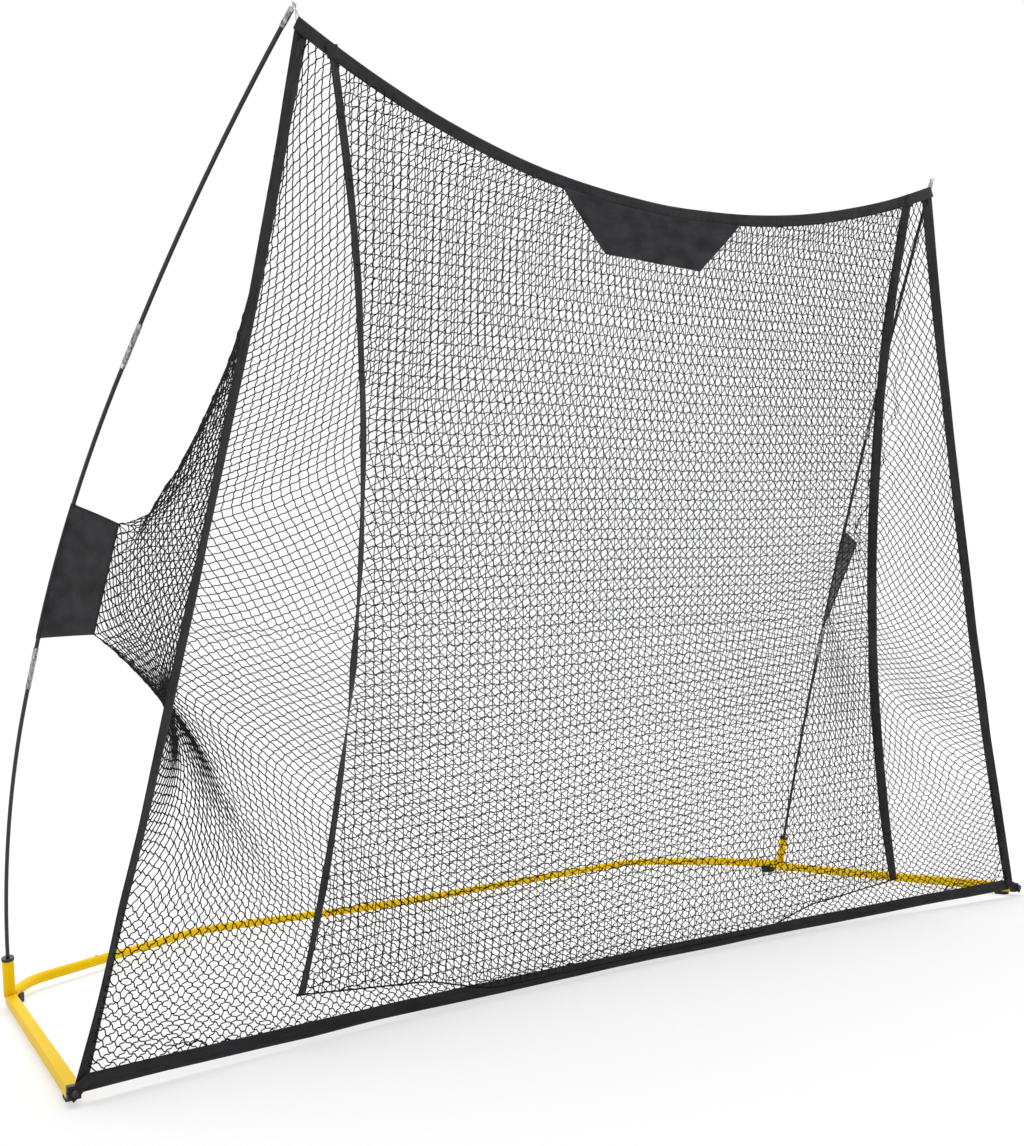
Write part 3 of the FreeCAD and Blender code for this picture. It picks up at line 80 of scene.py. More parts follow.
def make_camera():
    data = bpy.data.cameras.new("camera")
    data.lens = CAMERA_LENS
    data.sensor_width = CAMERA_SENSOR
    data.clip_start = CAMERA_NEAR
    data.clip_end = CAMERA_FAR
    camera = add_object("camera", data)
    ahead = Vector((math.sin(CAMERA_YAW) * math.cos(CAMERA_PITCH),
                    math.cos(CAMERA_YAW) * math.cos(CAMERA_PITCH), math.sin(CAMERA_PITCH)))
    level = Vector((math.cos(CAMERA_YAW), -math.sin(CAMERA_YAW), 0))
    upward = level.cross(ahead)
    right = level * math.cos(CAMERA_ROLL) + upward * math.sin(CAMERA_ROLL)
    up = upward * math.cos(CAMERA_ROLL) - level * math.sin(CAMERA_ROLL)
    turn = Matrix((right, up, -ahead)).transposed()
    camera.matrix_world = Matrix.Translation(CAMERA_PLACE) @ turn.to_4x4()
    bpy.context.scene.camera = camera


make_camera()

# Node materials

TURN = 2 * math.pi
STITCH_HALF = 0.0006
STITCH_LENGTH = 0.0042
STITCH_SHARE = -0.45
BRAID_PITCH = 0.0014


class Look:
    """One procedural material, with short ways to add nodes."""

    def __init__(self, name, base, roughness, **sockets):
        self.material = bpy.data.materials.new(name)
        self.material.use_nodes = True
        self.tree = self.material.node_tree
        self.shader = self.tree.nodes["Principled BSDF"]
        self.shader.inputs["Base Color"].default_value = (*base, 1)
        self.shader.inputs["Roughness"].default_value = roughness
        for socket, value in sockets.items():
            self.shader.inputs[socket.replace("_", " ")].default_value = value
        self.place = self.add("ShaderNodeTexCoord").outputs["Object"]

    def add(self, kind, **settings):
        node = self.tree.nodes.new(kind)
        for key, value in settings.items():
            setattr(node, key, value)
        return node

    def feed(self, socket, source):
        if isinstance(source, bpy.types.NodeSocket):
            self.tree.links.new(source, socket)
        else:
            socket.default_value = source

    def maths(self, operation, first, second=0.0):
        node = self.add("ShaderNodeMath", operation=operation)
        self.feed(node.inputs[0], first)
        self.feed(node.inputs[1], second)
        return node.outputs[0]

    def scaled(self, source, scale):
        node = self.add("ShaderNodeVectorMath", operation="MULTIPLY")
        self.feed(node.inputs[0], source)
        node.inputs[1].default_value = scale
        return node.outputs[0]

    def noise(self, scale, detail=3.0, source=None, rough=0.55):
        node = self.add("ShaderNodeTexNoise")
        node.inputs["Scale"].default_value = scale
        node.inputs["Detail"].default_value = detail
        node.inputs["Roughness"].default_value = rough
        self.feed(node.inputs["Vector"], self.place if source is None else source)
        return node.outputs["Fac"]

    def lay(self):
        """Metres along and across a woven piece, kept on its points."""
        node = self.add("ShaderNodeAttribute", attribute_name="lay")
        split = self.add("ShaderNodeSeparateXYZ")
        self.feed(split.inputs[0], node.outputs["Vector"])
        return split.outputs[0], split.outputs[1], node.outputs["Vector"]

    def shades(self, factor, stops):
        node = self.add("ShaderNodeValToRGB")
        self.feed(node.inputs["Fac"], factor)
        ramp = node.color_ramp
        while len(ramp.elements) < len(stops):
            ramp.elements.new(0.5)
        for element, (spot, colour) in zip(ramp.elements, stops):
            element.position = spot
            element.color = (*colour, 1)
        return node.outputs["Color"]

    def colour(self, source):
        self.feed(self.shader.inputs["Base Color"], source)

    def rough(self, factor, low, high):
        node = self.add("ShaderNodeMapRange")
        self.feed(node.inputs["Value"], factor)
        node.inputs["To Min"].default_value = low
        node.inputs["To Max"].default_value = high
        self.feed(self.shader.inputs["Roughness"], node.outputs["Result"])

    def bump(self, height, depth, strength=1.0):
        node = self.add("ShaderNodeBump")
        node.inputs["Strength"].default_value = strength
        node.inputs["Distance"].default_value = depth
        self.feed(node.inputs["Height"], height)
        self.feed(self.shader.inputs["Normal"], node.outputs["Normal"])


def yellow_paint():
    look = Look("yellow_powder_coat", (0.93, 0.60, 0.008), 0.48, Specular_IOR_Level=0.03)
    look.colour(look.shades(look.noise(5.0, 2.0), [(0.3, (0.94, 0.60, 0.004)), (0.7, (0.97, 0.64, 0.006))]))
    look.rough(look.noise(60.0, 4.0), 0.28, 0.44)
    look.bump(look.noise(420.0, 2.0), 0.0001, 0.35)
    return look.material


def black_rubber():
    look = Look("black_rubber", (0.018, 0.018, 0.018), 0.75)
    look.colour(look.shades(look.noise(180.0, 4.0),
                            [(0.4, (0.014, 0.014, 0.014)), (0.8, (0.032, 0.031, 0.030))]))
    look.bump(look.noise(900.0, 3.0), 0.0002, 0.5)
    return look.material


def black_plastic():
    look = Look("black_plastic", (0.014, 0.014, 0.015), 0.42)
    look.rough(look.noise(300.0, 3.0), 0.34, 0.52)
    look.colour(look.shades(look.noise(40.0), [(0.3, (0.011, 0.011, 0.012)), (0.7, (0.020, 0.020, 0.021))]))
    look.bump(look.noise(1500.0, 2.0), 0.0001, 0.4)
    return look.material


def glass_fibre():
    look = Look("glass_fibre_rod", (0.012, 0.012, 0.013), 0.3)
    streaks = look.noise(1.0, 4.0, look.scaled(look.place, (900, 900, 14)))
    look.colour(look.shades(streaks, [(0.35, (0.008, 0.008, 0.009)), (0.7, (0.024, 0.024, 0.026))]))
    look.rough(streaks, 0.22, 0.42)
    look.bump(streaks, 0.00015, 0.4)
    return look.material


def bare_aluminium():
    look = Look("bare_aluminium", (0.78, 0.79, 0.80), 0.25, Metallic=1.0)
    # Painted reflection: the dark streaks and broad bands in the base colour stand in for reflections of
    # darker surroundings. The same streaks also give the brushed roughness and bump.
    streaks = look.noise(1.0, 5.0, look.scaled(look.place, (700, 700, 9)), 0.7)
    painted_reflection_bands = look.noise(1.0, 1.0, look.scaled(look.place, (170, 170, 2)))
    both = look.maths("MULTIPLY", look.maths("ADD", streaks, painted_reflection_bands), 0.5)
    look.colour(look.shades(both, [(0.38, (0.10, 0.10, 0.11)), (0.5, (0.34, 0.345, 0.35)),
                                   (0.62, (0.72, 0.72, 0.73))]))
    look.rough(streaks, 0.18, 0.38)
    look.bump(streaks, 0.0001, 0.3)
    return look.material


def clear_plastic():
    look = Look("cloudy_plastic", (0.80, 0.83, 0.86), 0.22, IOR=1.46)
    look.shader.inputs["Transmission Weight"].default_value = 0.55
    look.colour(look.shades(look.noise(90.0), [(0.3, (0.66, 0.69, 0.72)), (0.7, (0.86, 0.88, 0.90))]))
    look.bump(look.noise(500.0), 0.0001, 0.2)
    return look.material


def steel(name, tint, roughness):
    look = Look(name, tint, roughness, Metallic=1.0)
    scuffs = look.noise(500.0, 5.0, look.scaled(look.place, (1, 1, 0.2)))
    look.colour(look.shades(scuffs, [(0.3, tuple(0.7 * channel for channel in tint)), (0.7, tint)]))
    look.rough(scuffs, roughness * 0.8, roughness * 1.4)
    look.bump(scuffs, 0.00005, 0.3)
    return look.material


def black_netting():
    look = Look("black_netting", (0.006, 0.006, 0.007), 0.7, Specular_IOR_Level=0.15)
    look.colour(look.shades(look.noise(25.0, 4.0),
                            [(0.35, (0.004, 0.004, 0.005)), (0.7, (0.011, 0.011, 0.012))]))
    look.bump(look.noise(2600.0, 1.0), 0.0002, 0.6)
    return look.material


def woven(name, low, high, roughness, pick, end, depth, sheen, streak, stitch=()):
    """A weave with the given spacing of picks and ends, and stitch rows at distances from the middle."""
    look = Look(name, high, roughness, Specular_IOR_Level=0.2)
    look.shader.inputs["Sheen Weight"].default_value = sheen
    look.shader.inputs["Sheen Roughness"].default_value = 0.4
    along, across, both = look.lay()
    warp = look.maths("SINE", look.maths("MULTIPLY", across, TURN / end))
    weft = look.maths("SINE", look.maths("MULTIPLY", along, TURN / pick))
    weave = look.maths("MULTIPLY", warp, weft)
    # Painted highlight and shade: the lighter patches and lighter streaks in the colour stand in for
    # highlights on the cloth's wrinkles. The weave and the streaks, which also shape the bump, make the
    # colour lighter on raised threads and darker in hollows.
    painted_highlight_patches = look.noise(14.0, 5.0)
    streaks = look.noise(1.0, 3.0, look.scaled(both, streak))
    mix = look.maths("ADD", look.maths("MULTIPLY", weave, 0.16), look.maths("MULTIPLY", painted_highlight_patches, 0.45))
    mix = look.maths("ADD", mix, look.maths("MULTIPLY", streaks, 0.55))
    look.colour(look.shades(mix, [(0.36, low), (0.66, high)]))
    height = look.maths("ADD", look.maths("MULTIPLY", weave, 0.5), look.maths("MULTIPLY", streaks, 2.0))
    for spot in stitch:
        near = look.maths("ABSOLUTE", look.maths("SUBTRACT", look.maths("ABSOLUTE", across), spot))
        row = look.maths("LESS_THAN", near, STITCH_HALF)
        beat = look.maths("SINE", look.maths("MULTIPLY", along, TURN / STITCH_LENGTH))
        dash = look.maths("GREATER_THAN", beat, STITCH_SHARE)
        pit = look.maths("MULTIPLY", row, look.maths("SUBTRACT", dash, 0.5))
        height = look.maths("ADD", height, look.maths("MULTIPLY", pit, 3.0))
    look.bump(height, depth, 0.8)
    return look.material


def pale_elastic():
    look = Look("pale_elastic", (0.66, 0.67, 0.69), 0.7)
    look.shader.inputs["Sheen Weight"].default_value = 0.2
    along, across, _ = look.lay()
    slanted = look.maths("ADD", along, across)
    braid = look.maths("SINE", look.maths("MULTIPLY", slanted, TURN / BRAID_PITCH))
    # Painted shade and highlight: the colour follows the braid's bump, darker in its grooves and lighter on
    # its ridges.
    look.colour(look.shades(look.maths("MULTIPLY", braid, 0.5),
                            [(0.0, (0.50, 0.51, 0.53)), (0.4, (0.72, 0.73, 0.75))]))
    look.bump(braid, 0.0002, 0.7)
    return look.material


LOOKS = {
    "yellow_paint": yellow_paint(),
    "black_rubber": black_rubber(),
    "black_plastic": black_plastic(),
    "glass_fibre": glass_fibre(),
    "bare_aluminium": bare_aluminium(),
    "clear_plastic": clear_plastic(),
    "spring_steel": steel("spring_steel", (0.55, 0.55, 0.57), 0.3),
    "button_steel": steel("button_steel", (0.42, 0.42, 0.44), 0.32),
    "black_netting": black_netting(),
    "black_webbing": woven("black_webbing", (0.006, 0.006, 0.007), (0.042, 0.042, 0.046), roughness=0.60,
                           pick=0.0018, end=0.0012, depth=0.0003, sheen=0.12, streak=(9, 420, 1),
                           stitch=(0.0105,)),
    "black_cloth": woven("black_cloth", (0.007, 0.007, 0.008), (0.044, 0.044, 0.049), roughness=0.62,
                         pick=0.0007, end=0.0006, depth=0.00015, sheen=0.12, streak=(14, 22, 1)),
    "pale_elastic": pale_elastic(),
}

for part in frame["record"]["subparts"]:
    for holder in nodes[part["node"]].material_slots:
        holder.material = LOOKS[part["material_slot"]]

# Mesh helpers


def make_piece(name, points, faces, slot_name, replaced, lay=None):
    """A mesh piece from points and arrays of faces, which rides on the root body."""
    mesh = bpy.data.meshes.new(name)
    points = np.asarray(points, np.float32).reshape(-1, 3)
    corners = np.concatenate([np.asarray(block).ravel() for block in faces])
    sizes = np.concatenate([np.full(len(block), np.asarray(block).shape[1]) for block in faces])
    starts = np.concatenate([[0], np.cumsum(sizes)[:-1]])
    mesh.vertices.add(len(points))
    mesh.vertices.foreach_set("co", points.ravel())
    mesh.loops.add(len(corners))
    mesh.loops.foreach_set("vertex_index", corners.astype(np.int32))
    mesh.polygons.add(len(sizes))
    mesh.polygons.foreach_set("loop_start", starts.astype(np.int32))
    mesh.update(calc_edges=True)
    mesh.validate()
    mesh.polygons.foreach_set("use_smooth", np.full(len(mesh.polygons), True))
    if lay is not None:
        kept = mesh.attributes.new("lay", "FLOAT_VECTOR", "POINT")
        kept.data.foreach_set("vector", np.asarray(lay, np.float32).ravel())
    thing = add_object(name, mesh)
    mesh.materials.append(LOOKS[slot_name])
    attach(thing, "root")
    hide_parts(*replaced)
    return thing


def unit(vectors):
    """The vectors at length 1."""
    return vectors / np.maximum(np.linalg.norm(vectors, axis=-1, keepdims=True), 1e-12)


def travelled(spots):
    """Distance along a line of points, at each of them."""
    return np.concatenate([[0], np.cumsum(np.linalg.norm(np.diff(spots, axis=0), axis=1))])


def grid_faces(rows, columns):
    """Four-cornered faces of a grid of points."""
    index = np.arange(rows * columns).reshape(rows, columns)
    return np.stack([index[:-1, :-1], index[:-1, 1:], index[1:, 1:], index[1:, :-1]], -1).reshape(-1, 4)


def tubes(paths, radius, sides):
    """Points and faces of closed tubes along many paths with as many points each."""
    paths = np.asarray(paths, float)
    count, length, _ = paths.shape
    along = unit(np.gradient(paths, axis=1))
    whole = unit(paths[:, -1] - paths[:, 0])[:, None]
    guide = np.where(np.abs(whole[..., 2:]) > 0.75, np.array([1.0, 0, 0]), np.array([0, 0, 1.0]))
    first = unit(np.cross(along, guide))
    second = np.cross(along, first)
    turn = TURN * np.arange(sides) / sides
    ring = first[:, :, None] * np.cos(turn)[:, None] + second[:, :, None] * np.sin(turn)[:, None]
    points = paths[:, :, None] + ring * radius
    index = np.arange(count * length * sides).reshape(count, length, sides)
    low, high = index[:, :-1], index[:, 1:]
    walls = np.stack([low, np.roll(low, -1, 2), np.roll(high, -1, 2), high], -1).reshape(-1, 4)
    ends = np.concatenate([index[:, 0, ::-1], index[:, -1]])
    return points.reshape(-1, 3), [walls, ends]


def knots(centres, radius):
    """Points and faces of small knots with eight faces each."""
    centres = np.asarray(centres, float)
    spokes = np.array([[1, 0, 0], [0, 1, 0], [-1, 0, 0], [0, -1, 0], [0, 0, 1], [0, 0, -1]]) * radius
    sides = np.array([[0, 1, 4], [1, 2, 4], [2, 3, 4], [3, 0, 4], [1, 0, 5], [2, 1, 5], [3, 2, 5], [0, 3, 5]])
    points = centres[:, None] + spokes
    faces = sides + 6 * np.arange(len(centres))[:, None, None]
    return points.reshape(-1, 3), [faces.reshape(-1, 3)]


def joined(parts):
    """Several (points, faces) pairs as one."""
    points = []
    faces = []
    shift = 0
    for spots, blocks in parts:
        points.append(spots)
        faces.extend(block + shift for block in blocks)
        shift += len(spots)
    return np.concatenate(points), faces


def strip_faces(points):
    """Faces of a strip made of closed rings of points, with both its ends."""
    rings, around = points.shape[:2]
    index = np.arange(rings * around).reshape(rings, around)
    low, high = index[:-1], index[1:]
    walls = np.stack([low, high, np.roll(high, -1, 1), np.roll(low, -1, 1)], -1).reshape(-1, 4)
    return [walls, index[:1], index[-1:, ::-1]]


# Front of the net: a shallow cylinder that leans towards the golfer

FRONT_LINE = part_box("left_rail")[0].y
REAR_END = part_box("left_rail")[1].y
RAIL_OUT = (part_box("left_rail")[0].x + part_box("left_rail")[1].x) / -2
LEAN = math.radians(11.45)
BOW = 0.1288
STEP = 0.001
FOOT_OUT = RAIL_OUT - 0.017
TOP_MIDDLE = 2.138
TAPE = 0.036
CLOTH = 0.002
SEAM = 0.0003
RADIUS = (FOOT_OUT ** 2 + BOW ** 2) / (2 * BOW)


def bow_depth(out):
    return np.sqrt(RADIUS ** 2 - np.asarray(out) ** 2) - RADIUS + BOW


def front(out, rise, depth=0.0):
    """Points of the front surface from their distance out, rise up the front and depth behind it."""
    out, rise, depth = np.broadcast_arrays(*(np.asarray(value, float) for value in (out, rise, depth)))
    back = bow_depth(out) + depth
    return np.stack([out, FRONT_LINE + STEP - rise * math.sin(LEAN) + back * math.cos(LEAN),
                     rise * math.cos(LEAN) + back * math.sin(LEAN)], -1)


def rise_at(height, out):
    """How far up the front a height above the floor lies."""
    return (height - bow_depth(out) * math.sin(LEAN)) / math.cos(LEAN)


class Arc:
    """A circle in the front's flat plan through three (out, rise) points."""

    def __init__(self, low, middle, high):
        (ax, ay), (bx, by), (cx, cy) = low, middle, high
        scale = 2 * (ax * (by - cy) + bx * (cy - ay) + cx * (ay - by))
        a, b, c = ax ** 2 + ay ** 2, bx ** 2 + by ** 2, cx ** 2 + cy ** 2
        self.x = (a * (by - cy) + b * (cy - ay) + c * (ay - by)) / scale
        self.y = (a * (cx - bx) + b * (ax - cx) + c * (bx - ax)) / scale
        self.radius = math.hypot(ax - self.x, ay - self.y)
        self.side = math.copysign(1, bx - self.x)
        self.above = math.copysign(1, by - self.y)

    def out(self, rise):
        return self.x + self.side * np.sqrt(self.radius ** 2 - (np.asarray(rise) - self.y) ** 2)

    def rise(self, out):
        return self.y + self.above * np.sqrt(self.radius ** 2 - (np.asarray(out) - self.x) ** 2)


CORNER = (RAIL_OUT - 0.452, 2.360)
TOP = Arc((-CORNER[0], CORNER[1]), (0, TOP_MIDDLE), CORNER)
EDGE = Arc((FOOT_OUT, 0.092), (RAIL_OUT - 0.261, 1.252), CORNER)
HEM_FOOT = 0.104
HEM = Arc((RAIL_OUT - 0.500, HEM_FOOT), (RAIL_OUT - 0.633, 1.200), (RAIL_OUT - 0.526, 2.330))

# Webbing: tapes and hems

BAND_POINTS = 7
BAND_RIM = 0.4
TOP_EASE = 0.85
FOOT_EASE = 0.8
FOOT_EASE_LENGTH = 0.12
TWIST_STEP = 0.14
WANDER_STEP = 0.20
WANDER = 0.0009


def noise_line(distance, step, seed, size):
    """A random wander of the given size along a line, with a new value about every step."""
    random = np.random.default_rng(seed)
    stations = max(int(distance[-1] / step) + 3, 4)
    values = random.normal(0, size, stations)
    return np.interp(distance, np.linspace(0, distance[-1], stations), values)


def make_band(name, plan, width, depth, replaced, seed, twist=0.06, turned=0.0, flare=0.0):
    """Webbing along (out, rise) points on the front, turned by an angle that eases off at its ends.

    It has a slight random twist and wander, and flare is the share by which its last end is wider."""
    plan = np.asarray(plan, float)
    along = unit(np.gradient(plan, axis=0))
    across = np.stack([along[:, 1], -along[:, 0]], -1)
    distance = travelled(plan)
    half = width / 2
    thick = CLOTH / 2
    spread = np.linspace(-1, 1, BAND_POINTS)
    face = [(half * spot, -thick if abs(spot) < 1 else -thick * BAND_RIM) for spot in spread]
    back = [(half * spot, thick if abs(spot) < 1 else thick * BAND_RIM) for spot in spread[::-1]]
    section = np.array(face + back)[None]
    share = (distance / distance[-1]) ** 4
    ease = 1 - TOP_EASE * share - FOOT_EASE * np.exp(-distance / FOOT_EASE_LENGTH)
    section = section * np.stack([1 + flare * share, np.ones(len(share))], -1)[:, None]
    turn = (turned * ease + noise_line(distance, TWIST_STEP, seed, twist))[:, None]
    wander = noise_line(distance, WANDER_STEP, seed + 1, WANDER)[:, None]
    sideways = section[..., 0] * np.cos(turn) - section[..., 1] * np.sin(turn) + wander
    place = plan[:, None] + across[:, None] * sideways[..., None]
    deep = depth + section[..., 1] * np.cos(turn) + section[..., 0] * np.sin(turn)
    points = front(place[..., 0], place[..., 1], deep)
    lay = np.zeros(points.shape)
    lay[..., 0] = distance[:, None]
    lay[..., 1] = section[..., 0]
    make_piece(name, points, strip_faces(points), "black_webbing", replaced, lay)


def along_edge(arc, side, insets, low, high, count=90):
    """A line beside an edge, whose inset goes from the first value at the foot to the second at the top."""
    rises = np.linspace(low, high, count)
    inset = np.interp(rises, (low, high), insets)
    return np.stack([side * (arc.out(rises) - inset), rises], -1)


LOW_EDGE = 0.007
LOW_EDGE_LIFT = 0.014
TAPE_END = 0.004
TOP_WIDTH = TAPE * 0.94
EDGE_FOOT = 0.034
EDGE_TOP = CORNER[1] - TAPE * 0.6
EDGE_WIDTH = 0.027
EDGE_TURN = math.radians(36)
EDGE_INSETS = (0.012, 0.026)
EDGE_DEPTH = 0.007
HEM_TOP = TOP.rise(HEM.out(2.3))
HEM_WIDTH = 0.028
HEM_TURN = math.radians(38)
HEM_INSETS = (0.016, 0.018)
HEM_DEPTH = 0.005
WRAP_INSETS = (0.016, 0.014)
WRAP_WIDTH = HEM_WIDTH * 1.15
WRAP_DROP = 0.012


def low_edge_height(out):
    """The bottom tape's lower edge above the floor: lifted where the corner straps hold it."""
    return LOW_EDGE + LOW_EDGE_LIFT * (np.asarray(out) / FOOT_OUT) ** 2


def make_tapes():
    """The top and bottom tapes, the two edge tapes and the two hems with their wraps at the top tape."""
    reach = CORNER[0] - TAPE_END
    outs = np.linspace(-reach, reach, 120)
    make_band("top_webbing", np.stack([outs, TOP.rise(outs) - TAPE / 2], -1), TOP_WIDTH, CLOTH / 2,
              ("top_tape",), 11)
    for name, side in SIDES:
        plan = along_edge(EDGE, side, EDGE_INSETS, EDGE_FOOT, EDGE_TOP)
        make_band(name + "_edge_webbing", plan, EDGE_WIDTH, EDGE_DEPTH, (name + "_edge_tape",), 21 + side,
                  twist=0.10, turned=-side * EDGE_TURN, flare=0.25)
        plan = along_edge(HEM, side, HEM_INSETS, HEM_FOOT, HEM_TOP - TAPE * 0.7)
        make_band(name + "_hem_webbing", plan, HEM_WIDTH, HEM_DEPTH, (name + "_hem",), 31 + side,
                  twist=0.20, turned=-side * HEM_TURN, flare=0.10)
        plan = along_edge(HEM, side, WRAP_INSETS, HEM_TOP - TAPE * 1.2, HEM_TOP - WRAP_DROP, 9)
        make_band(name + "_hem_wrap", plan, WRAP_WIDTH, -CLOTH * 0.8, (name + "_hem",), 51 + side, twist=0.05)
    reach = FOOT_OUT - TAPE_END
    outs = np.linspace(-reach, reach, 150)
    middle = rise_at(low_edge_height(outs), outs) + TAPE / 2
    make_band("bottom_webbing", np.stack([outs, middle], -1), TAPE, CLOTH / 2, ("bottom_tape",), 41,
              twist=0.08)


make_tapes()

# Hitting net: square mesh between the hems

NET_WIDE = 2.2
NET_TALL = 2.6
NET_FOOT = -0.15
CELL_WIDE = 0.023
CELL_TALL = 0.028
STRAND = 0.00132
KNOT = 0.0021
SELVEDGE = 0.0022
SLANT = math.tan(math.radians(2.4))
LOW_FLAT_OUT = 0.43
LOW_RAISED_OUT = 0.73
LOW_RAISE = 0.062
LOW_SLOPE = 0.11
JITTER = 0.0005
ZIGZAG = 0.0013
BAR_WAVE = 0.0026
BAR_BOW = 0.0009
BAR_SPOTS = np.linspace(0, 1, 5)
WAVE_ON_BAR = np.sin(TURN * BAR_SPOTS)
BOW_ON_BAR = np.sin(math.pi * BAR_SPOTS)
HITTING_PANELS = ("left", "middle", "right")


def hitting_low(out):
    """The hitting net's lower edge: behind the bottom tape in the middle, lifted towards the hems."""
    far = np.abs(out)
    step = np.clip((far - LOW_FLAT_OUT) / 0.30, 0, 1)
    lift = LOW_RAISE * step ** 2 * (3 - 2 * step)
    return rise_at(0.025, out) + lift + LOW_SLOPE * np.maximum(far - LOW_RAISED_OUT, 0)


def in_hitting_net(out, rise):
    return (rise < TOP.rise(out) - TAPE) & (np.abs(out) < HEM.out(rise) - TAPE) & (rise > hitting_low(out))


def hitting_panel(out):
    """Which of the hitting net's panels a place belongs to."""
    return np.clip(((out + 1.0) / 0.6667).astype(int), 0, len(HITTING_PANELS) - 1)


def make_hitting_net():
    """Wavy bars between slightly uneven knots, cut at the tapes and hems, with a selvedge below."""
    across = int(NET_WIDE / CELL_WIDE)
    up = int(NET_TALL / CELL_TALL)
    column, row = np.meshgrid(np.arange(across + 1), np.arange(up + 1), indexing="ij")
    random = np.random.default_rng(5)
    odd = (column + row) % 2 * 2 - 1
    out = (column - across / 2) * CELL_WIDE
    rise = NET_FOOT + row * CELL_TALL + out * SLANT
    sway = 0.004 * np.sin(rise * 5.1 + 1.0) * np.sin(out * 2.3)
    out = out + ZIGZAG * odd + sway + random.normal(0, JITTER, out.shape)
    rise = rise + 0.003 * np.sin(out * 6.3 + rise * 2.0) + random.normal(0, JITTER, out.shape)
    depth = 0.0010 + 0.0025 * np.sin(out * 3.9 + 1.3) * np.sin(rise * 2.7 + 0.4) ** 2
    inside = in_hitting_net(out, rise)
    low = hitting_low(out)
    drawn = np.maximum(rise, low)
    parts = {name: [] for name in HITTING_PANELS}
    for kind, first, second in (("up", np.s_[:, :-1], np.s_[:, 1:]), ("across", np.s_[:-1, :], np.s_[1:, :])):
        keep = inside[first] | inside[second]
        if kind == "across":
            keep &= (rise[first] > low[first]) & (rise[second] > low[second])
        starts, stops = (np.stack([out[at], drawn[at], depth[at]])[:, keep, None] for at in (first, second))
        outs, rises, depths = starts + (stops - starts) * BAR_SPOTS
        sign = odd[first][keep][:, None]
        if kind == "across":
            rises = rises + BAR_WAVE * WAVE_ON_BAR * sign
        else:
            outs = outs + BAR_BOW * BOW_ON_BAR * sign
        points = front(outs, rises, depths)
        panel = hitting_panel(starts[0, :, 0])
        for number, name in enumerate(HITTING_PANELS):
            parts[name].append(tubes(points[panel == number], STRAND, 4))
    centres = front(out[inside], rise[inside], depth[inside])
    panel = hitting_panel(out[inside])
    for number, name in enumerate(HITTING_PANELS):
        parts[name].append(knots(centres[panel == number], KNOT))
    outs = np.linspace(-HEM.out(HEM_FOOT), HEM.out(HEM_FOOT), 260)
    edge = front(outs, hitting_low(outs) + 0.0008 * np.sin(outs * 270), 0.0012)
    parts["middle"].append(tubes(edge[None], SELVEDGE, 6))
    for name in HITTING_PANELS:
        points, faces = joined(parts[name])
        make_piece("hitting_net_" + name, points, faces, "black_netting", ("hitting_net",))


make_hitting_net()

# Outer net: diamond mesh that hangs from the tapes and the flags' inner edges

COLUMNS = 108
ROWS = 148
BAR = 0.0252
FLAG_COLUMN = 17
FLAG_ROWS = (62, 82)
EDGE_ROWS = ((0, 2.322), (36, 1.56), (78, 0.82), (ROWS, 0.050))
EDGE_SEWN = 0.014
SEWN_BEHIND = CLOTH + 0.0012
EDGE_PIN_DEPTH = 0.0085
OUTER_PANELS = 5
OUTER_STRAND = STRAND * 1.19
LEAST_SWING = 0.0010
MOST_SWING = 0.0022
MOST_HANG = 0.002
SLACK_SHARE = 0.10

# Places and sags of the bag that the net hangs as

FLAG_TOP = (RAIL_OUT - 0.185, REAR_END - 0.829, 1.292)
FLAG_FOOT = (RAIL_OUT - 0.155, REAR_END - 0.609, 1.032)
FOLD = (RAIL_OUT - 0.415, REAR_END - 0.886, 0.588)
FLOOR = (RAIL_OUT - 0.775, REAR_END - 1.046, 0.004)
NO_SAG = ((0, 0, 0), 1)
SAGS = (((-0.080, -0.100, -0.035), 1.3), NO_SAG, ((-0.040, -0.035, 0.0), 1), NO_SAG, NO_SAG)
BACK_SAGS = (-0.080, -0.110, 0.130, 0.140)
LEVEL_STEPS = 8
WING_POINTS = 12
BACK_POINTS = 41
WING_START = 0.008
SEAM_DROP = 0.012
NET_BEHIND = 0.004

# Settling, in stages of coarseness, rounds, steps in a round, and weight

HANG_STAGES = ((4, 20, 25, 0.0001), (2, 14, 20, 0.00006), (1, 10, 16, 0.00004))
LAST_STEPS = 12
DRAW = 0.6
LAST_DRAW = 0.1
DRAG = 0.96
PUSH = 0.25
SHORTEST = 0.75
EVENING = 0.06
TAPE_SHADE = 0.035
FLOOR_REST = 0.0012
FLOOR_NEAR = 0.0025
FLOOR_SLIP = 0.2
FRONT_GAP = 0.0045
TAPE_GAP = 0.008
FLOOR_GAP = 0.002


def bag_levels():
    """The bag's levels from the top down, each with its corner's place and its middle's Y."""
    corner = CORNER[0] - 0.025
    top = front(corner, TOP.rise(corner) - SEAM_DROP, NET_BEHIND)
    low_corner = FOOT_OUT - 0.050
    low = front(low_corner, rise_at(0.03, low_corner), NET_BEHIND)
    corners = [np.array(spot, float) for spot in (top, FLAG_TOP, FLAG_FOOT, FOLD, FLOOR, low)]
    middles = [front(0, TOP.rise(0) - SEAM_DROP, NET_BEHIND)[1]]
    middles += [spot[1] + sag for spot, sag in zip(corners[1:5], BACK_SAGS)]
    middles.append(front(0, rise_at(0.02, 0), NET_BEHIND)[1])
    levels = []
    for span, (sag, bias) in enumerate(SAGS):
        for share in np.arange(LEVEL_STEPS) / LEVEL_STEPS:
            spot = corners[span] + (corners[span + 1] - corners[span]) * share
            spot = spot + np.array(sag) * math.sin(math.pi * share ** bias)
            levels.append((spot, middles[span] + (middles[span + 1] - middles[span]) * share))
    levels.append((corners[-1], middles[-1]))
    return levels


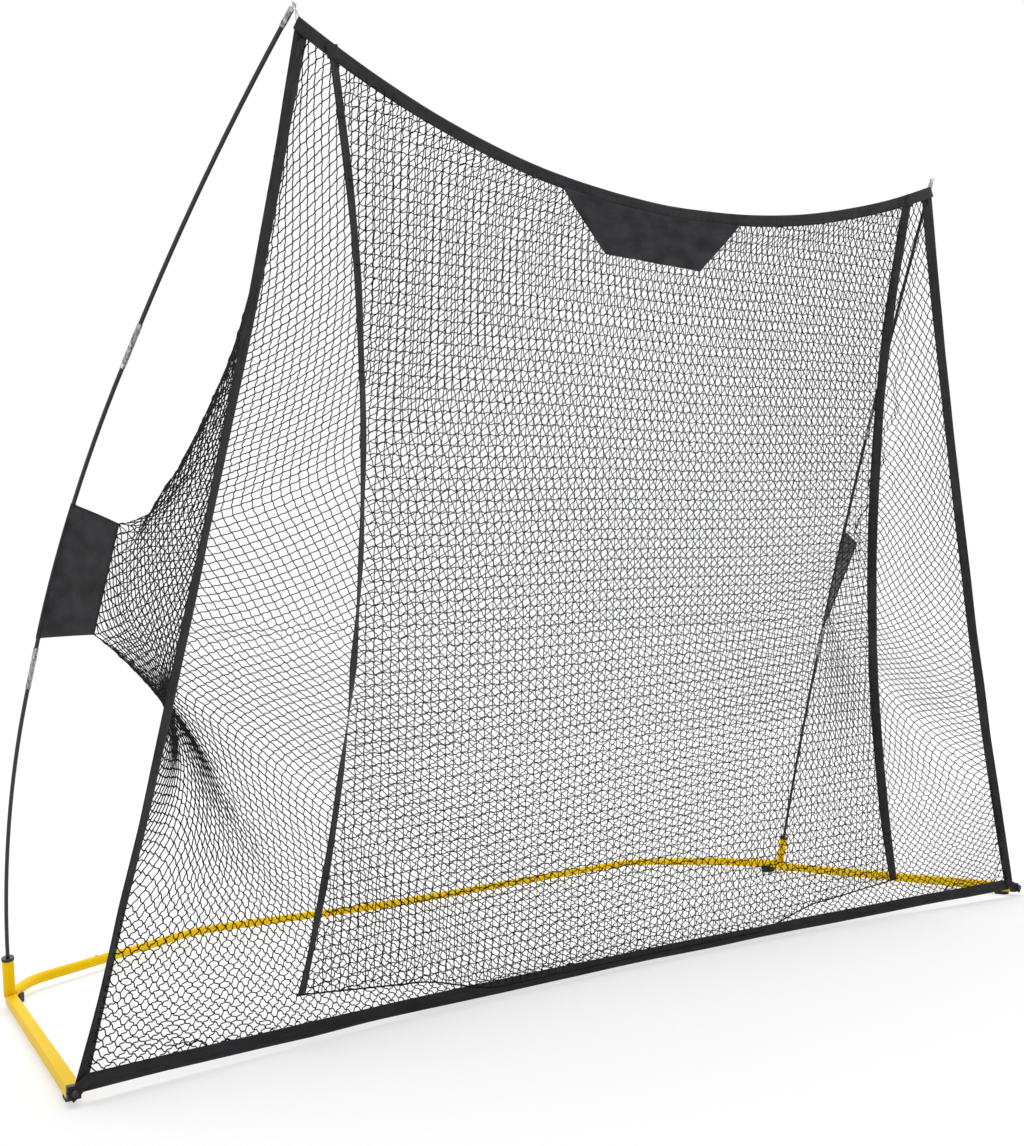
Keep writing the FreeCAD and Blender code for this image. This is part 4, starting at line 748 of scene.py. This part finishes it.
def bag_line(corner, middle):
    """Points at one level, from edge tape to edge tape."""
    rise = np.clip(rise_at(corner[2], corner[0]), 0.08, 2.30)
    start = front(min(EDGE.out(rise) - EDGE_SEWN, FOOT_OUT - 0.03), rise, WING_START)
    share = np.linspace(0, 1, WING_POINTS + 1)[:-1, None]
    wing = start + (corner - start) * share
    across = np.linspace(-1, 1, BACK_POINTS)
    back = np.stack([corner[0] * across, middle + (corner[1] - middle) * across ** 2,
                     np.full(BACK_POINTS, corner[2])], -1)
    return np.concatenate([wing * (-1, 1, 1), back, wing[::-1]])


def net_pins(columns, rows):
    """Which points of the lattice are sewn on, and where."""
    place = np.full((rows + 1, columns, 3), np.nan)
    scale = rows / ROWS
    last = columns - 0.5
    index = np.arange(columns)
    share = (index + 0.25) / last
    head = CORNER[0] - 0.012
    outs = -head + 2 * head * share
    place[0] = front(outs, TOP.rise(outs) - EDGE_SEWN, SEWN_BEHIND)
    foot = FOOT_OUT - 0.025
    outs = -foot + 2 * foot * (index + (rows % 2) / 2) / last
    place[rows] = front(outs, rise_at(low_edge_height(outs), outs) + EDGE_SEWN, SEWN_BEHIND)
    for row in range(1, rows):
        side = -1 if row % 2 == 0 else 1
        rise = np.interp(row / scale, *zip(*EDGE_ROWS))
        place[row, 0 if side < 0 else columns - 1] = front(side * (EDGE.out(rise) - EDGE_SEWN), rise,
                                                           EDGE_PIN_DEPTH)
    first, final = (round(end * scale) for end in FLAG_ROWS)
    across = FLAG_COLUMN * columns / COLUMNS
    for row in range(first, final + 1):
        share = (row - first) / (final - first)
        spot = np.array(FLAG_TOP) + (np.array(FLAG_FOOT) - np.array(FLAG_TOP)) * share
        for name, side in SIDES:
            where = across if side < 0 else last - across
            column = where - (row % 2) / 2
            if abs(column - round(column)) < 0.26:
                place[row, int(round(column))] = spot * (side, 1, 1)
    return place


def bars(rows):
    """The lattice's four families of bars, each as slices of its upper and its lower ends."""
    even, odd = np.s_[0:rows:2], np.s_[1:rows:2]
    under_even, under_odd = np.s_[1:rows + 1:2], np.s_[2:rows + 1:2]
    return ((even, np.s_[:], under_even, np.s_[:]), (even, np.s_[1:], under_even, np.s_[:-1]),
            (odd, np.s_[:], under_odd, np.s_[:]), (odd, np.s_[:-1], under_odd, np.s_[1:]))


def settle(points, pins, bar, steps, weight):
    """Lets the lattice hang: bars pull when stretched and push when short, and the floor holds it up."""
    rows = len(points) - 1
    held = ~np.isnan(pins[..., 0])
    points[held] = pins[held]
    free = (~held).astype(float)[..., None]
    before = points.copy()
    for step in range(steps):
        speed = (points - before) * DRAG
        speed = np.where(points[..., 2:] < FLOOR_NEAR, speed * FLOOR_SLIP, speed)
        before = points.copy()
        points = points + speed * free
        points[..., 2:] -= weight * free
        for upper, at, lower, below in bars(rows):
            high, low = points[upper, at], points[lower, below]
            high_free, low_free = free[upper, at], free[lower, below]
            gap = low - high
            length = np.maximum(np.linalg.norm(gap, axis=-1, keepdims=True), 1e-9)
            pull = np.maximum(length - bar, 0) - PUSH * np.maximum(SHORTEST * bar - length, 0)
            move = gap / length * pull / np.maximum(high_free + low_free, 1)
            points[upper, at] = high + move * high_free
            points[lower, below] = low - move * low_free
        evened = points.copy()
        middle = points[1:-1]
        shift = np.arange(1, rows) % 2
        above, under = points[:-2], points[2:]
        around = np.zeros_like(middle)
        for parity in (0, 1):
            pick = shift == parity
            rolled = -1 if parity else 1
            around[pick] = (above[pick] + under[pick] + np.roll(above[pick], rolled, 1)
                            + np.roll(under[pick], rolled, 1)) / 4
        around[:, 0] = middle[:, 0]
        around[:, -1] = middle[:, -1]
        evened[1:-1] = middle + (around - middle) * EVENING
        points = np.where(held[..., None], pins, evened)
        points[..., 2] = np.maximum(points[..., 2], FLOOR_REST)
    return points


def first_guess(columns, rows, grid):
    """The lattice spread over the bag, from which it settles."""
    flag_shares = [0, FLAG_ROWS[0] / ROWS, FLAG_ROWS[1] / ROWS, 1]
    marks = np.interp(np.arange(rows + 1) / rows, flag_shares, [0, 0.2, 0.4, 1])
    result = np.zeros((rows + 1, columns, 3))
    for row in range(rows + 1):
        down = marks[row] * (len(grid) - 1)
        upper = min(int(down), len(grid) - 2)
        line = grid[upper] + (grid[upper + 1] - grid[upper]) * (down - upper)
        distance = travelled(line)
        across = (np.arange(columns) + (row % 2) / 2) / (columns - 0.5) * distance[-1]
        for axis in range(3):
            result[row, :, axis] = np.interp(across, distance, line[:, axis])
    return result


def drawn_in(points, pins, tree, share):
    """Moves free points part of the way to the bag's surface, behind the front and above its low edge."""
    held = ~np.isnan(pins[..., 0])
    goal = np.array([tree.find_nearest(spot)[0][:] for spot in points.reshape(-1, 3).tolist()])
    weight = share * np.where(held, 0, 1)[..., None]
    moved = points + (goal.reshape(points.shape) - points) * weight
    out = np.clip(moved[..., 0], -FOOT_OUT, FOOT_OUT)
    nearest = front(out, rise_at(moved[..., 2], out), FRONT_GAP)[..., 1]
    moved[..., 1] = np.where(held, moved[..., 1], np.maximum(moved[..., 1], nearest))
    lift = np.where(moved[..., 1] < nearest + TAPE_SHADE, low_edge_height(out) + TAPE_GAP, FLOOR_GAP)
    moved[..., 2] = np.where(held, moved[..., 2], np.maximum(moved[..., 2], lift))
    return moved


def finer(points, columns, rows):
    """The same shape on a lattice with more rows and columns."""
    old_rows = len(points) - 1
    old_last = points.shape[1] - 0.5
    result = np.zeros((rows + 1, columns, 3))
    spots = [np.arange(points.shape[1]) + (row % 2) / 2 for row in range(old_rows + 1)]
    for row in range(rows + 1):
        down = row * old_rows / rows
        upper = min(int(down), old_rows - 1)
        share = down - upper
        across = (np.arange(columns) + (row % 2) / 2) * old_last / (columns - 0.5)
        for axis in range(3):
            above = np.interp(across, spots[upper], points[upper, :, axis])
            under = np.interp(across, spots[upper + 1], points[upper + 1, :, axis])
            result[row, :, axis] = above + (under - above) * share
    return result


def hang_outer_net():
    """The hung lattice, settled first with coarse bars and then with finer ones."""
    grid = np.array([bag_line(corner, middle) for corner, middle in bag_levels()])
    faces = grid_faces(*grid.shape[:2])
    tree = BVHTree.FromPolygons(grid.reshape(-1, 3).tolist(), faces.tolist())
    shape = None
    for part, rounds, steps, weight in HANG_STAGES:
        columns, rows = COLUMNS // part, ROWS // part
        shape = first_guess(columns, rows, grid) if shape is None else finer(shape, columns, rows)
        pins = net_pins(columns, rows)
        for turn in range(rounds):
            shape = settle(shape, pins, BAR * part, steps, weight)
            shape = drawn_in(shape, pins, tree, DRAW)
        shape = settle(shape, pins, BAR * part, LAST_STEPS, weight)
        shape = drawn_in(shape, pins, tree, LAST_DRAW)
    return shape


def make_outer_net():
    """Wavy bars and knots on the hung lattice, in panels side by side."""
    shape = hang_outer_net()
    random = np.random.default_rng(9)
    across = np.gradient(shape, axis=1)
    down = np.gradient(shape, axis=0)
    normal = unit(np.cross(across, down))
    parts = [[] for number in range(OUTER_PANELS)]
    for upper, at, lower, below in bars(ROWS):
        start = shape[upper, at].reshape(-1, 3)
        gap = shape[lower, below].reshape(-1, 3) - start
        facing = normal[upper, at].reshape(-1, 3)
        length = np.linalg.norm(gap, axis=1)
        slack = np.sqrt(np.maximum(BAR ** 2 - length ** 2, 0))
        sideways = unit(np.cross(gap, facing))
        swing = np.minimum(LEAST_SWING + SLACK_SHARE * slack, MOST_SWING)
        swing = swing * random.choice([-1, 1], len(start), p=[0.3, 0.7])
        hang = np.minimum(SLACK_SHARE * slack, MOST_HANG) * random.normal(0, 1, len(start))
        lines = (start[:, None] + gap[:, None] * BAR_SPOTS[:, None]
                 + sideways[:, None] * (WAVE_ON_BAR[:, None] * swing[:, None, None])
                 + facing[:, None] * (BOW_ON_BAR[:, None] * hang[:, None, None]))
        lines[..., 2] = np.maximum(lines[..., 2], FLOOR_REST)
        column = np.broadcast_to(np.arange(COLUMNS)[at][None], shape[upper, at].shape[:2]).reshape(-1)
        for number in range(OUTER_PANELS):
            inside = column * OUTER_PANELS // COLUMNS == number
            parts[number].append(tubes(lines[inside], OUTER_STRAND, 3))
    column = np.broadcast_to(np.arange(COLUMNS)[None], shape.shape[:2])
    for number in range(OUTER_PANELS):
        inside = column * OUTER_PANELS // COLUMNS == number
        parts[number].append(knots(shape[inside], KNOT))
        points, faces = joined(parts[number])
        points[:, 2] = np.maximum(points[:, 2], 0.0003)
        make_piece("outer_net_%d" % (number + 1), points, faces, "black_netting",
                   ("back_net", "left_wing_net", "right_wing_net"))


make_outer_net()

# Header patch and flags

PATCH_TOP_HALF = 0.311
PATCH_FOOT_HALF = 0.165
PATCH_DROP = 0.170
PATCH_CLOTH_HALF = 0.0007
FLAG_START = 0.093
FLAG_LENGTH = 0.401
FLAG_CLOTH = 0.0008
FLAG_GAP = 0.0009
POLE_RING = 0.0068
FLAG_LINES = 30
FLAG_STEPS = 16
FLAG_WEAVE = 0.19
POLE_STEPS = 19
POLE_OPENING = 30


def make_sheet(name, face, back, along, across, replaced):
    """A cloth piece from the grids of its two sides."""
    rows, columns = face.shape[:2]
    index = np.arange(rows * columns).reshape(rows, columns)
    near = grid_faces(rows, columns)
    far = near[:, ::-1] + rows * columns
    rim = np.concatenate([index[0, :-1], index[:-1, -1], index[-1, :0:-1], index[:0:-1, 0]])
    after = np.roll(rim, -1)
    walls = np.stack([after, rim, rim + rows * columns, after + rows * columns], -1)
    points = np.concatenate([face.reshape(-1, 3), back.reshape(-1, 3)])
    flat_lay = np.stack([along, across, np.zeros_like(along)], -1).reshape(-1, 3)
    thing = make_piece(name, points, [near, far, walls], "black_cloth", replaced,
                       np.concatenate([flat_lay, flat_lay]))


def make_patch():
    """Plain cloth under the top tape, a trapezoid that hangs a little proud of the net."""
    down, across = np.meshgrid(np.linspace(0, 1, 25), np.linspace(-1, 1, 49), indexing="ij")
    out = across * (PATCH_TOP_HALF + (PATCH_FOOT_HALF - PATCH_TOP_HALF) * down)
    top = TOP.rise(out) - TAPE + 0.004
    low = TOP.rise(0) - PATCH_DROP
    rise = top + (low - top) * down
    ripple = 0.0016 * np.sin(across * 7.0 + 0.8) * down + 0.001 * np.sin(across * 17 + down * 5) * down
    depth = -0.0030 - 0.0025 * down + ripple
    face = front(out, rise, depth - PATCH_CLOTH_HALF)
    back = front(out, rise, depth + PATCH_CLOTH_HALF)
    make_sheet("header_cloth", face, back, out, rise, ("header_patch",))


make_patch()


def rod_line(node):
    """The centre line of a rod's node as two curves over its height."""
    mesh = nodes[node].data
    spots = np.zeros(len(mesh.vertices) * 3)
    mesh.vertices.foreach_get("co", spots)
    spots = spots.reshape(-1, 3)
    curves = [np.polynomial.Polynomial.fit(spots[:, 2], spots[:, axis], 2) for axis in (0, 1)]
    return lambda height: np.stack([curves[0](height), curves[1](height), height], -1)


def make_flag(name, side):
    """Cloth sewn round the pole and on to the outer net."""
    node = name + "_middle_rod"
    line = rod_line(node)
    heights = np.linspace(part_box(node)[0].z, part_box(node)[1].z, 200)
    rows = np.linspace(0, 1, FLAG_LINES)
    pole = line(np.interp(FLAG_START + FLAG_LENGTH * rows, travelled(line(heights)), heights))
    axis = unit(np.gradient(pole, axis=0))
    top = np.array(FLAG_TOP) * (side, 1, 1)
    foot = np.array(FLAG_FOOT) * (side, 1, 1)
    inner = foot + (top - foot) * rows[:, None]
    way = unit(inner - pole)
    way = unit(way - axis * np.sum(way * axis, 1, keepdims=True))
    normal = np.cross(axis, way)
    reach = np.linalg.norm(inner - pole, axis=1)
    turn = np.linspace(math.radians(POLE_OPENING), math.radians(360 - POLE_OPENING), POLE_STEPS)
    steps = np.linspace(0, 1, FLAG_STEPS)
    wavy = 0.004 * np.sin(math.pi * steps)[None] * np.sin(rows * 7.0 + 1.0)[:, None]
    first = (POLE_RING * math.cos(turn[0]) / reach)[:, None]
    spots = pole[:, None] + (inner - pole)[:, None] * (first + (1 - first) * steps)[..., None]
    spread = (1 - np.clip(steps * 9, 0, 1)) ** 2
    gap = FLAG_GAP + (POLE_RING * math.sin(turn[0]) - FLAG_GAP) * spread
    layers = []
    for inset in (0, FLAG_CLOTH):
        apart = (gap - inset)[None]
        upper = spots + normal[:, None] * (wavy + apart)[..., None]
        lower = spots + normal[:, None] * (wavy - apart)[..., None]
        bend = POLE_RING - inset
        round_pole = (pole[:, None] + way[:, None] * (bend * np.cos(turn))[None, :, None]
                      + normal[:, None] * (bend * np.sin(turn))[None, :, None])
        layers.append(np.concatenate([upper[:, ::-1], round_pole[:, 1:-1], lower], axis=1))
    wide = layers[0].shape[1]
    along = np.broadcast_to((rows * FLAG_LENGTH)[:, None], (len(rows), wide))
    across = np.broadcast_to(np.linspace(-FLAG_WEAVE, FLAG_WEAVE, wide)[None], (len(rows), wide))
    make_sheet(name + "_flag_cloth", layers[0], layers[1], along, across, (name + "_flag",))


for name, side in SIDES:
    make_flag(name, side)

# Corner straps and loops

STRAP_HALF = 0.0125
STRAP_HOLE = 0.0044
STRAP_TAPER = 0.25
STRAP_SPANS = 24
STRAP_RISE = 0.052
STRAP_INSET = 0.020
TAB_RINGS = 6
TAB_SPOTS = 32
TAB_POINTS = TAB_RINGS * TAB_SPOTS
WIRE = 0.0012
LOOP_HALF = 0.0056
TIP_NECK = 0.003
CORD_SIDES = 10
FERRULE_HALF = 0.046 / 2
TIP_REACH = 0.0108
KNOB_REACH = 0.0115
CORNER_HOLE = 0.012
BEND_POINTS = 13


def make_strap(name, side):
    """Webbing from the edge tape's foot, with a hole that hooks over the rail cap's knob."""
    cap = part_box(name + "_rail_cap")
    hook = np.array([side * RAIL_OUT, cap[0].y + KNOB_REACH, (cap[0].z + cap[1].z) / 2])
    top = front(side * (FOOT_OUT - STRAP_INSET), STRAP_RISE, -CLOTH)
    run = unit(hook - top)
    length = np.linalg.norm(hook - top)
    across = unit(np.cross(run, np.array([0, 1.0, 0]))) * -side
    deep = unit(np.cross(across, run))
    turn = np.linspace(0, TURN, TAB_SPOTS + 1)[:-1]
    around = np.stack([np.cos(turn), np.sin(turn)], -1)
    square = around / np.abs(around).max(1)[:, None] * STRAP_HALF
    tab = np.array([around * STRAP_HOLE * (1 - share) + square * share
                    for share in np.linspace(0, 1, TAB_RINGS)])
    thick = CLOTH / 2

    def placed(spots, depth):
        share = np.clip((-spots[..., 1]) / length, 0, 1)
        widen = 1 - STRAP_TAPER * share
        return (hook + across * (spots[..., :1] * widen[..., None]) + run * spots[..., 1:]
                + deep * depth)

    skin = np.stack([placed(tab, -thick), placed(tab, thick)])
    index = np.arange(TAB_POINTS).reshape(TAB_RINGS, TAB_SPOTS)
    after = np.roll(index, -1, 1)
    near = np.stack([index[:-1], after[:-1], after[1:], index[1:]], -1).reshape(-1, 4)
    far = near[:, ::-1] + TAB_POINTS
    bore = np.stack([index[0], index[0] + TAB_POINTS, after[0] + TAB_POINTS, after[0]], -1)
    edge = np.stack([after[-1], after[-1] + TAB_POINTS, index[-1] + TAB_POINTS, index[-1]], -1)
    flat_tab = np.stack([tab[..., 1].ravel(), tab[..., 0].ravel(), np.zeros(TAB_POINTS)], -1)
    tab_lay = np.concatenate([flat_tab, flat_tab])
    spans = np.linspace(-STRAP_HALF, -length, STRAP_SPANS)
    section = np.array([(offset, -thick) for offset in np.linspace(-STRAP_HALF, STRAP_HALF, BAND_POINTS)]
                       + [(offset, thick) for offset in np.linspace(STRAP_HALF, -STRAP_HALF, BAND_POINTS)])
    strip = np.array([[placed(np.array([offset, span]), depth) for offset, depth in section]
                      for span in spans])
    strip_lay = np.zeros(strip.shape)
    strip_lay[..., 0] = spans[:, None]
    strip_lay[..., 1] = section[None, :, 0]
    points, faces = joined([(skin.reshape(-1, 3), [near, far, bore, edge]),
                            (strip.reshape(-1, 3), strip_faces(strip))])
    make_piece(name + "_strap_webbing", points, faces, "black_webbing", (name + "_corner_strap",),
               np.concatenate([tab_lay, strip_lay.reshape(-1, 3)]))


def make_loop(name, side):
    """A ring of elastic from under the tip cap's head to the upper corner of the net."""
    spots = np.array([tuple(vertex.co) for vertex in nodes[name + "_tip_ferrule"].data.vertices])
    centre = spots.mean(0)
    up = np.linalg.svd(spots - centre)[2][0]
    up = up * math.copysign(1, up[2])
    neck = centre + up * (FERRULE_HALF + TIP_REACH - WIRE)
    out = side * (CORNER[0] - CORNER_HOLE)
    tip = front(out, TOP.rise(out) - CORNER_HOLE, CLOTH + SEAM + WIRE)
    back = unit(np.array([out, 0, math.sqrt(RADIUS ** 2 - out ** 2)]))
    back = np.array([back[0], back[2] * math.cos(LEAN), back[2] * math.sin(LEAN)])
    reach = unit(tip - neck)
    bends = []
    for start, upright, way, step in ((neck, up, -1, LOOP_HALF - WIRE - TIP_NECK - SEAM),
                                      (tip, back, 1, -LOOP_HALF)):
        across = unit(np.cross(upright, reach))
        ahead = np.cross(across, upright)
        middle = start + ahead * step
        bends.append([middle + ahead * (way * LOOP_HALF * math.cos(bend))
                      + across * (LOOP_HALF * math.sin(bend))
                      for bend in np.radians(np.linspace(-90, 90, BEND_POINTS) * way)])
    path = np.array(bends[1] + bends[0] + bends[1][:1])
    dense = []
    for first, second in zip(path[:-1], path[1:]):
        count = max(int(np.linalg.norm(second - first) / WIRE), 1)
        dense.extend(first + (second - first) * part / count for part in range(count))
    dense.append(path[-1])
    dense = np.array(dense)
    points, faces = tubes(dense[None], WIRE, CORD_SIDES)
    lay = np.zeros((len(dense), CORD_SIDES, 3))
    lay[..., 0] = travelled(dense)[:, None]
    lay[..., 1] = np.arange(CORD_SIDES)[None] * 0.0007
    make_piece(name + "_elastic", points, faces, "pale_elastic", (name + "_corner_loop",), lay)


for name, side in SIDES:
    make_strap(name, side)
    make_loop(name, side)

# Leaf springs under the snap buttons


def make_spring(name):
    """The node's leaf spring as a piece of its own on the root body."""
    node = nodes[name + "_button_spring"]
    mesh = node.data.copy()
    mesh.transform(node.matrix_world)
    spring = add_object(name + "_leaf_spring", mesh)
    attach(spring, "root")
    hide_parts(node.name)
    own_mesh(spring)


for name in ("left", "middle", "right"):
    make_spring(name)

# Floor, light and background

FLOOR_REACH = 60
FLOOR_GREY = 0.9
SEEN_FLOOR = 0.50
FLOOR_LIFT = 0.52
ROOM_LIGHT = 0.64
SUN_LIGHT = 1.7
SUN_SPREAD = math.radians(55)
SUN_WAY = Vector((-0.18, -0.35, -1))


def make_floor():
    """A pale floor that looks nearly white to the camera and keeps soft shadows."""
    mesh = bpy.data.meshes.new("floor")
    corners = [(x * FLOOR_REACH, y * FLOOR_REACH, 0) for x, y in ((-1, -1), (1, -1), (1, 1), (-1, 1))]
    mesh.from_pydata(corners, [], [(0, 1, 2, 3)])
    floor = add_object("floor", mesh)
    look = Look("pale_floor", (FLOOR_GREY,) * 3, 0.9, Specular_IOR_Level=0.0, Emission_Color=(1, 1, 1, 1))
    seen = look.add("ShaderNodeLightPath").outputs["Is Camera Ray"]
    look.colour(look.maths("ADD", look.maths("MULTIPLY", seen, SEEN_FLOOR - FLOOR_GREY), FLOOR_GREY))
    look.feed(look.shader.inputs["Emission Strength"], look.maths("MULTIPLY", seen, FLOOR_LIFT))
    mesh.materials.append(look.material)


def make_world():
    """Even light all round, which looks white where the camera sees it directly."""
    world = bpy.data.worlds.new("studio")
    bpy.context.scene.world = world
    world.use_nodes = True
    tree = world.node_tree
    tree.nodes.clear()
    path = tree.nodes.new("ShaderNodeLightPath")
    seen = path.outputs["Is Camera Ray"]
    for other in ("Is Glossy Ray", "Is Transmission Ray"):
        total = tree.nodes.new("ShaderNodeMath")
        total.operation = "ADD"
        total.use_clamp = True
        tree.links.new(seen, total.inputs[0])
        tree.links.new(path.outputs[other], total.inputs[1])
        seen = total.outputs[0]
    mix = tree.nodes.new("ShaderNodeMixShader")
    tree.links.new(seen, mix.inputs[0])
    for number, strength in ((1, ROOM_LIGHT), (2, 1.0)):
        background = tree.nodes.new("ShaderNodeBackground")
        background.inputs["Color"].default_value = (1, 1, 1, 1)
        background.inputs["Strength"].default_value = strength
        tree.links.new(background.outputs[0], mix.inputs[number])
    result = tree.nodes.new("ShaderNodeOutputWorld")
    tree.links.new(mix.outputs[0], result.inputs[0])


def make_sun():
    """A wide, soft light from above, a little from behind the net and from its right."""
    data = bpy.data.lights.new("soft_sun", "SUN")
    data.energy = SUN_LIGHT
    data.angle = SUN_SPREAD
    sun = add_object("soft_sun", data)
    sun.rotation_mode = "QUATERNION"
    sun.rotation_quaternion = SUN_WAY.to_track_quat("-Z", "Y")


make_floor()
make_world()
make_sun()
bpy.context.scene.view_settings.view_transform = "Standard"
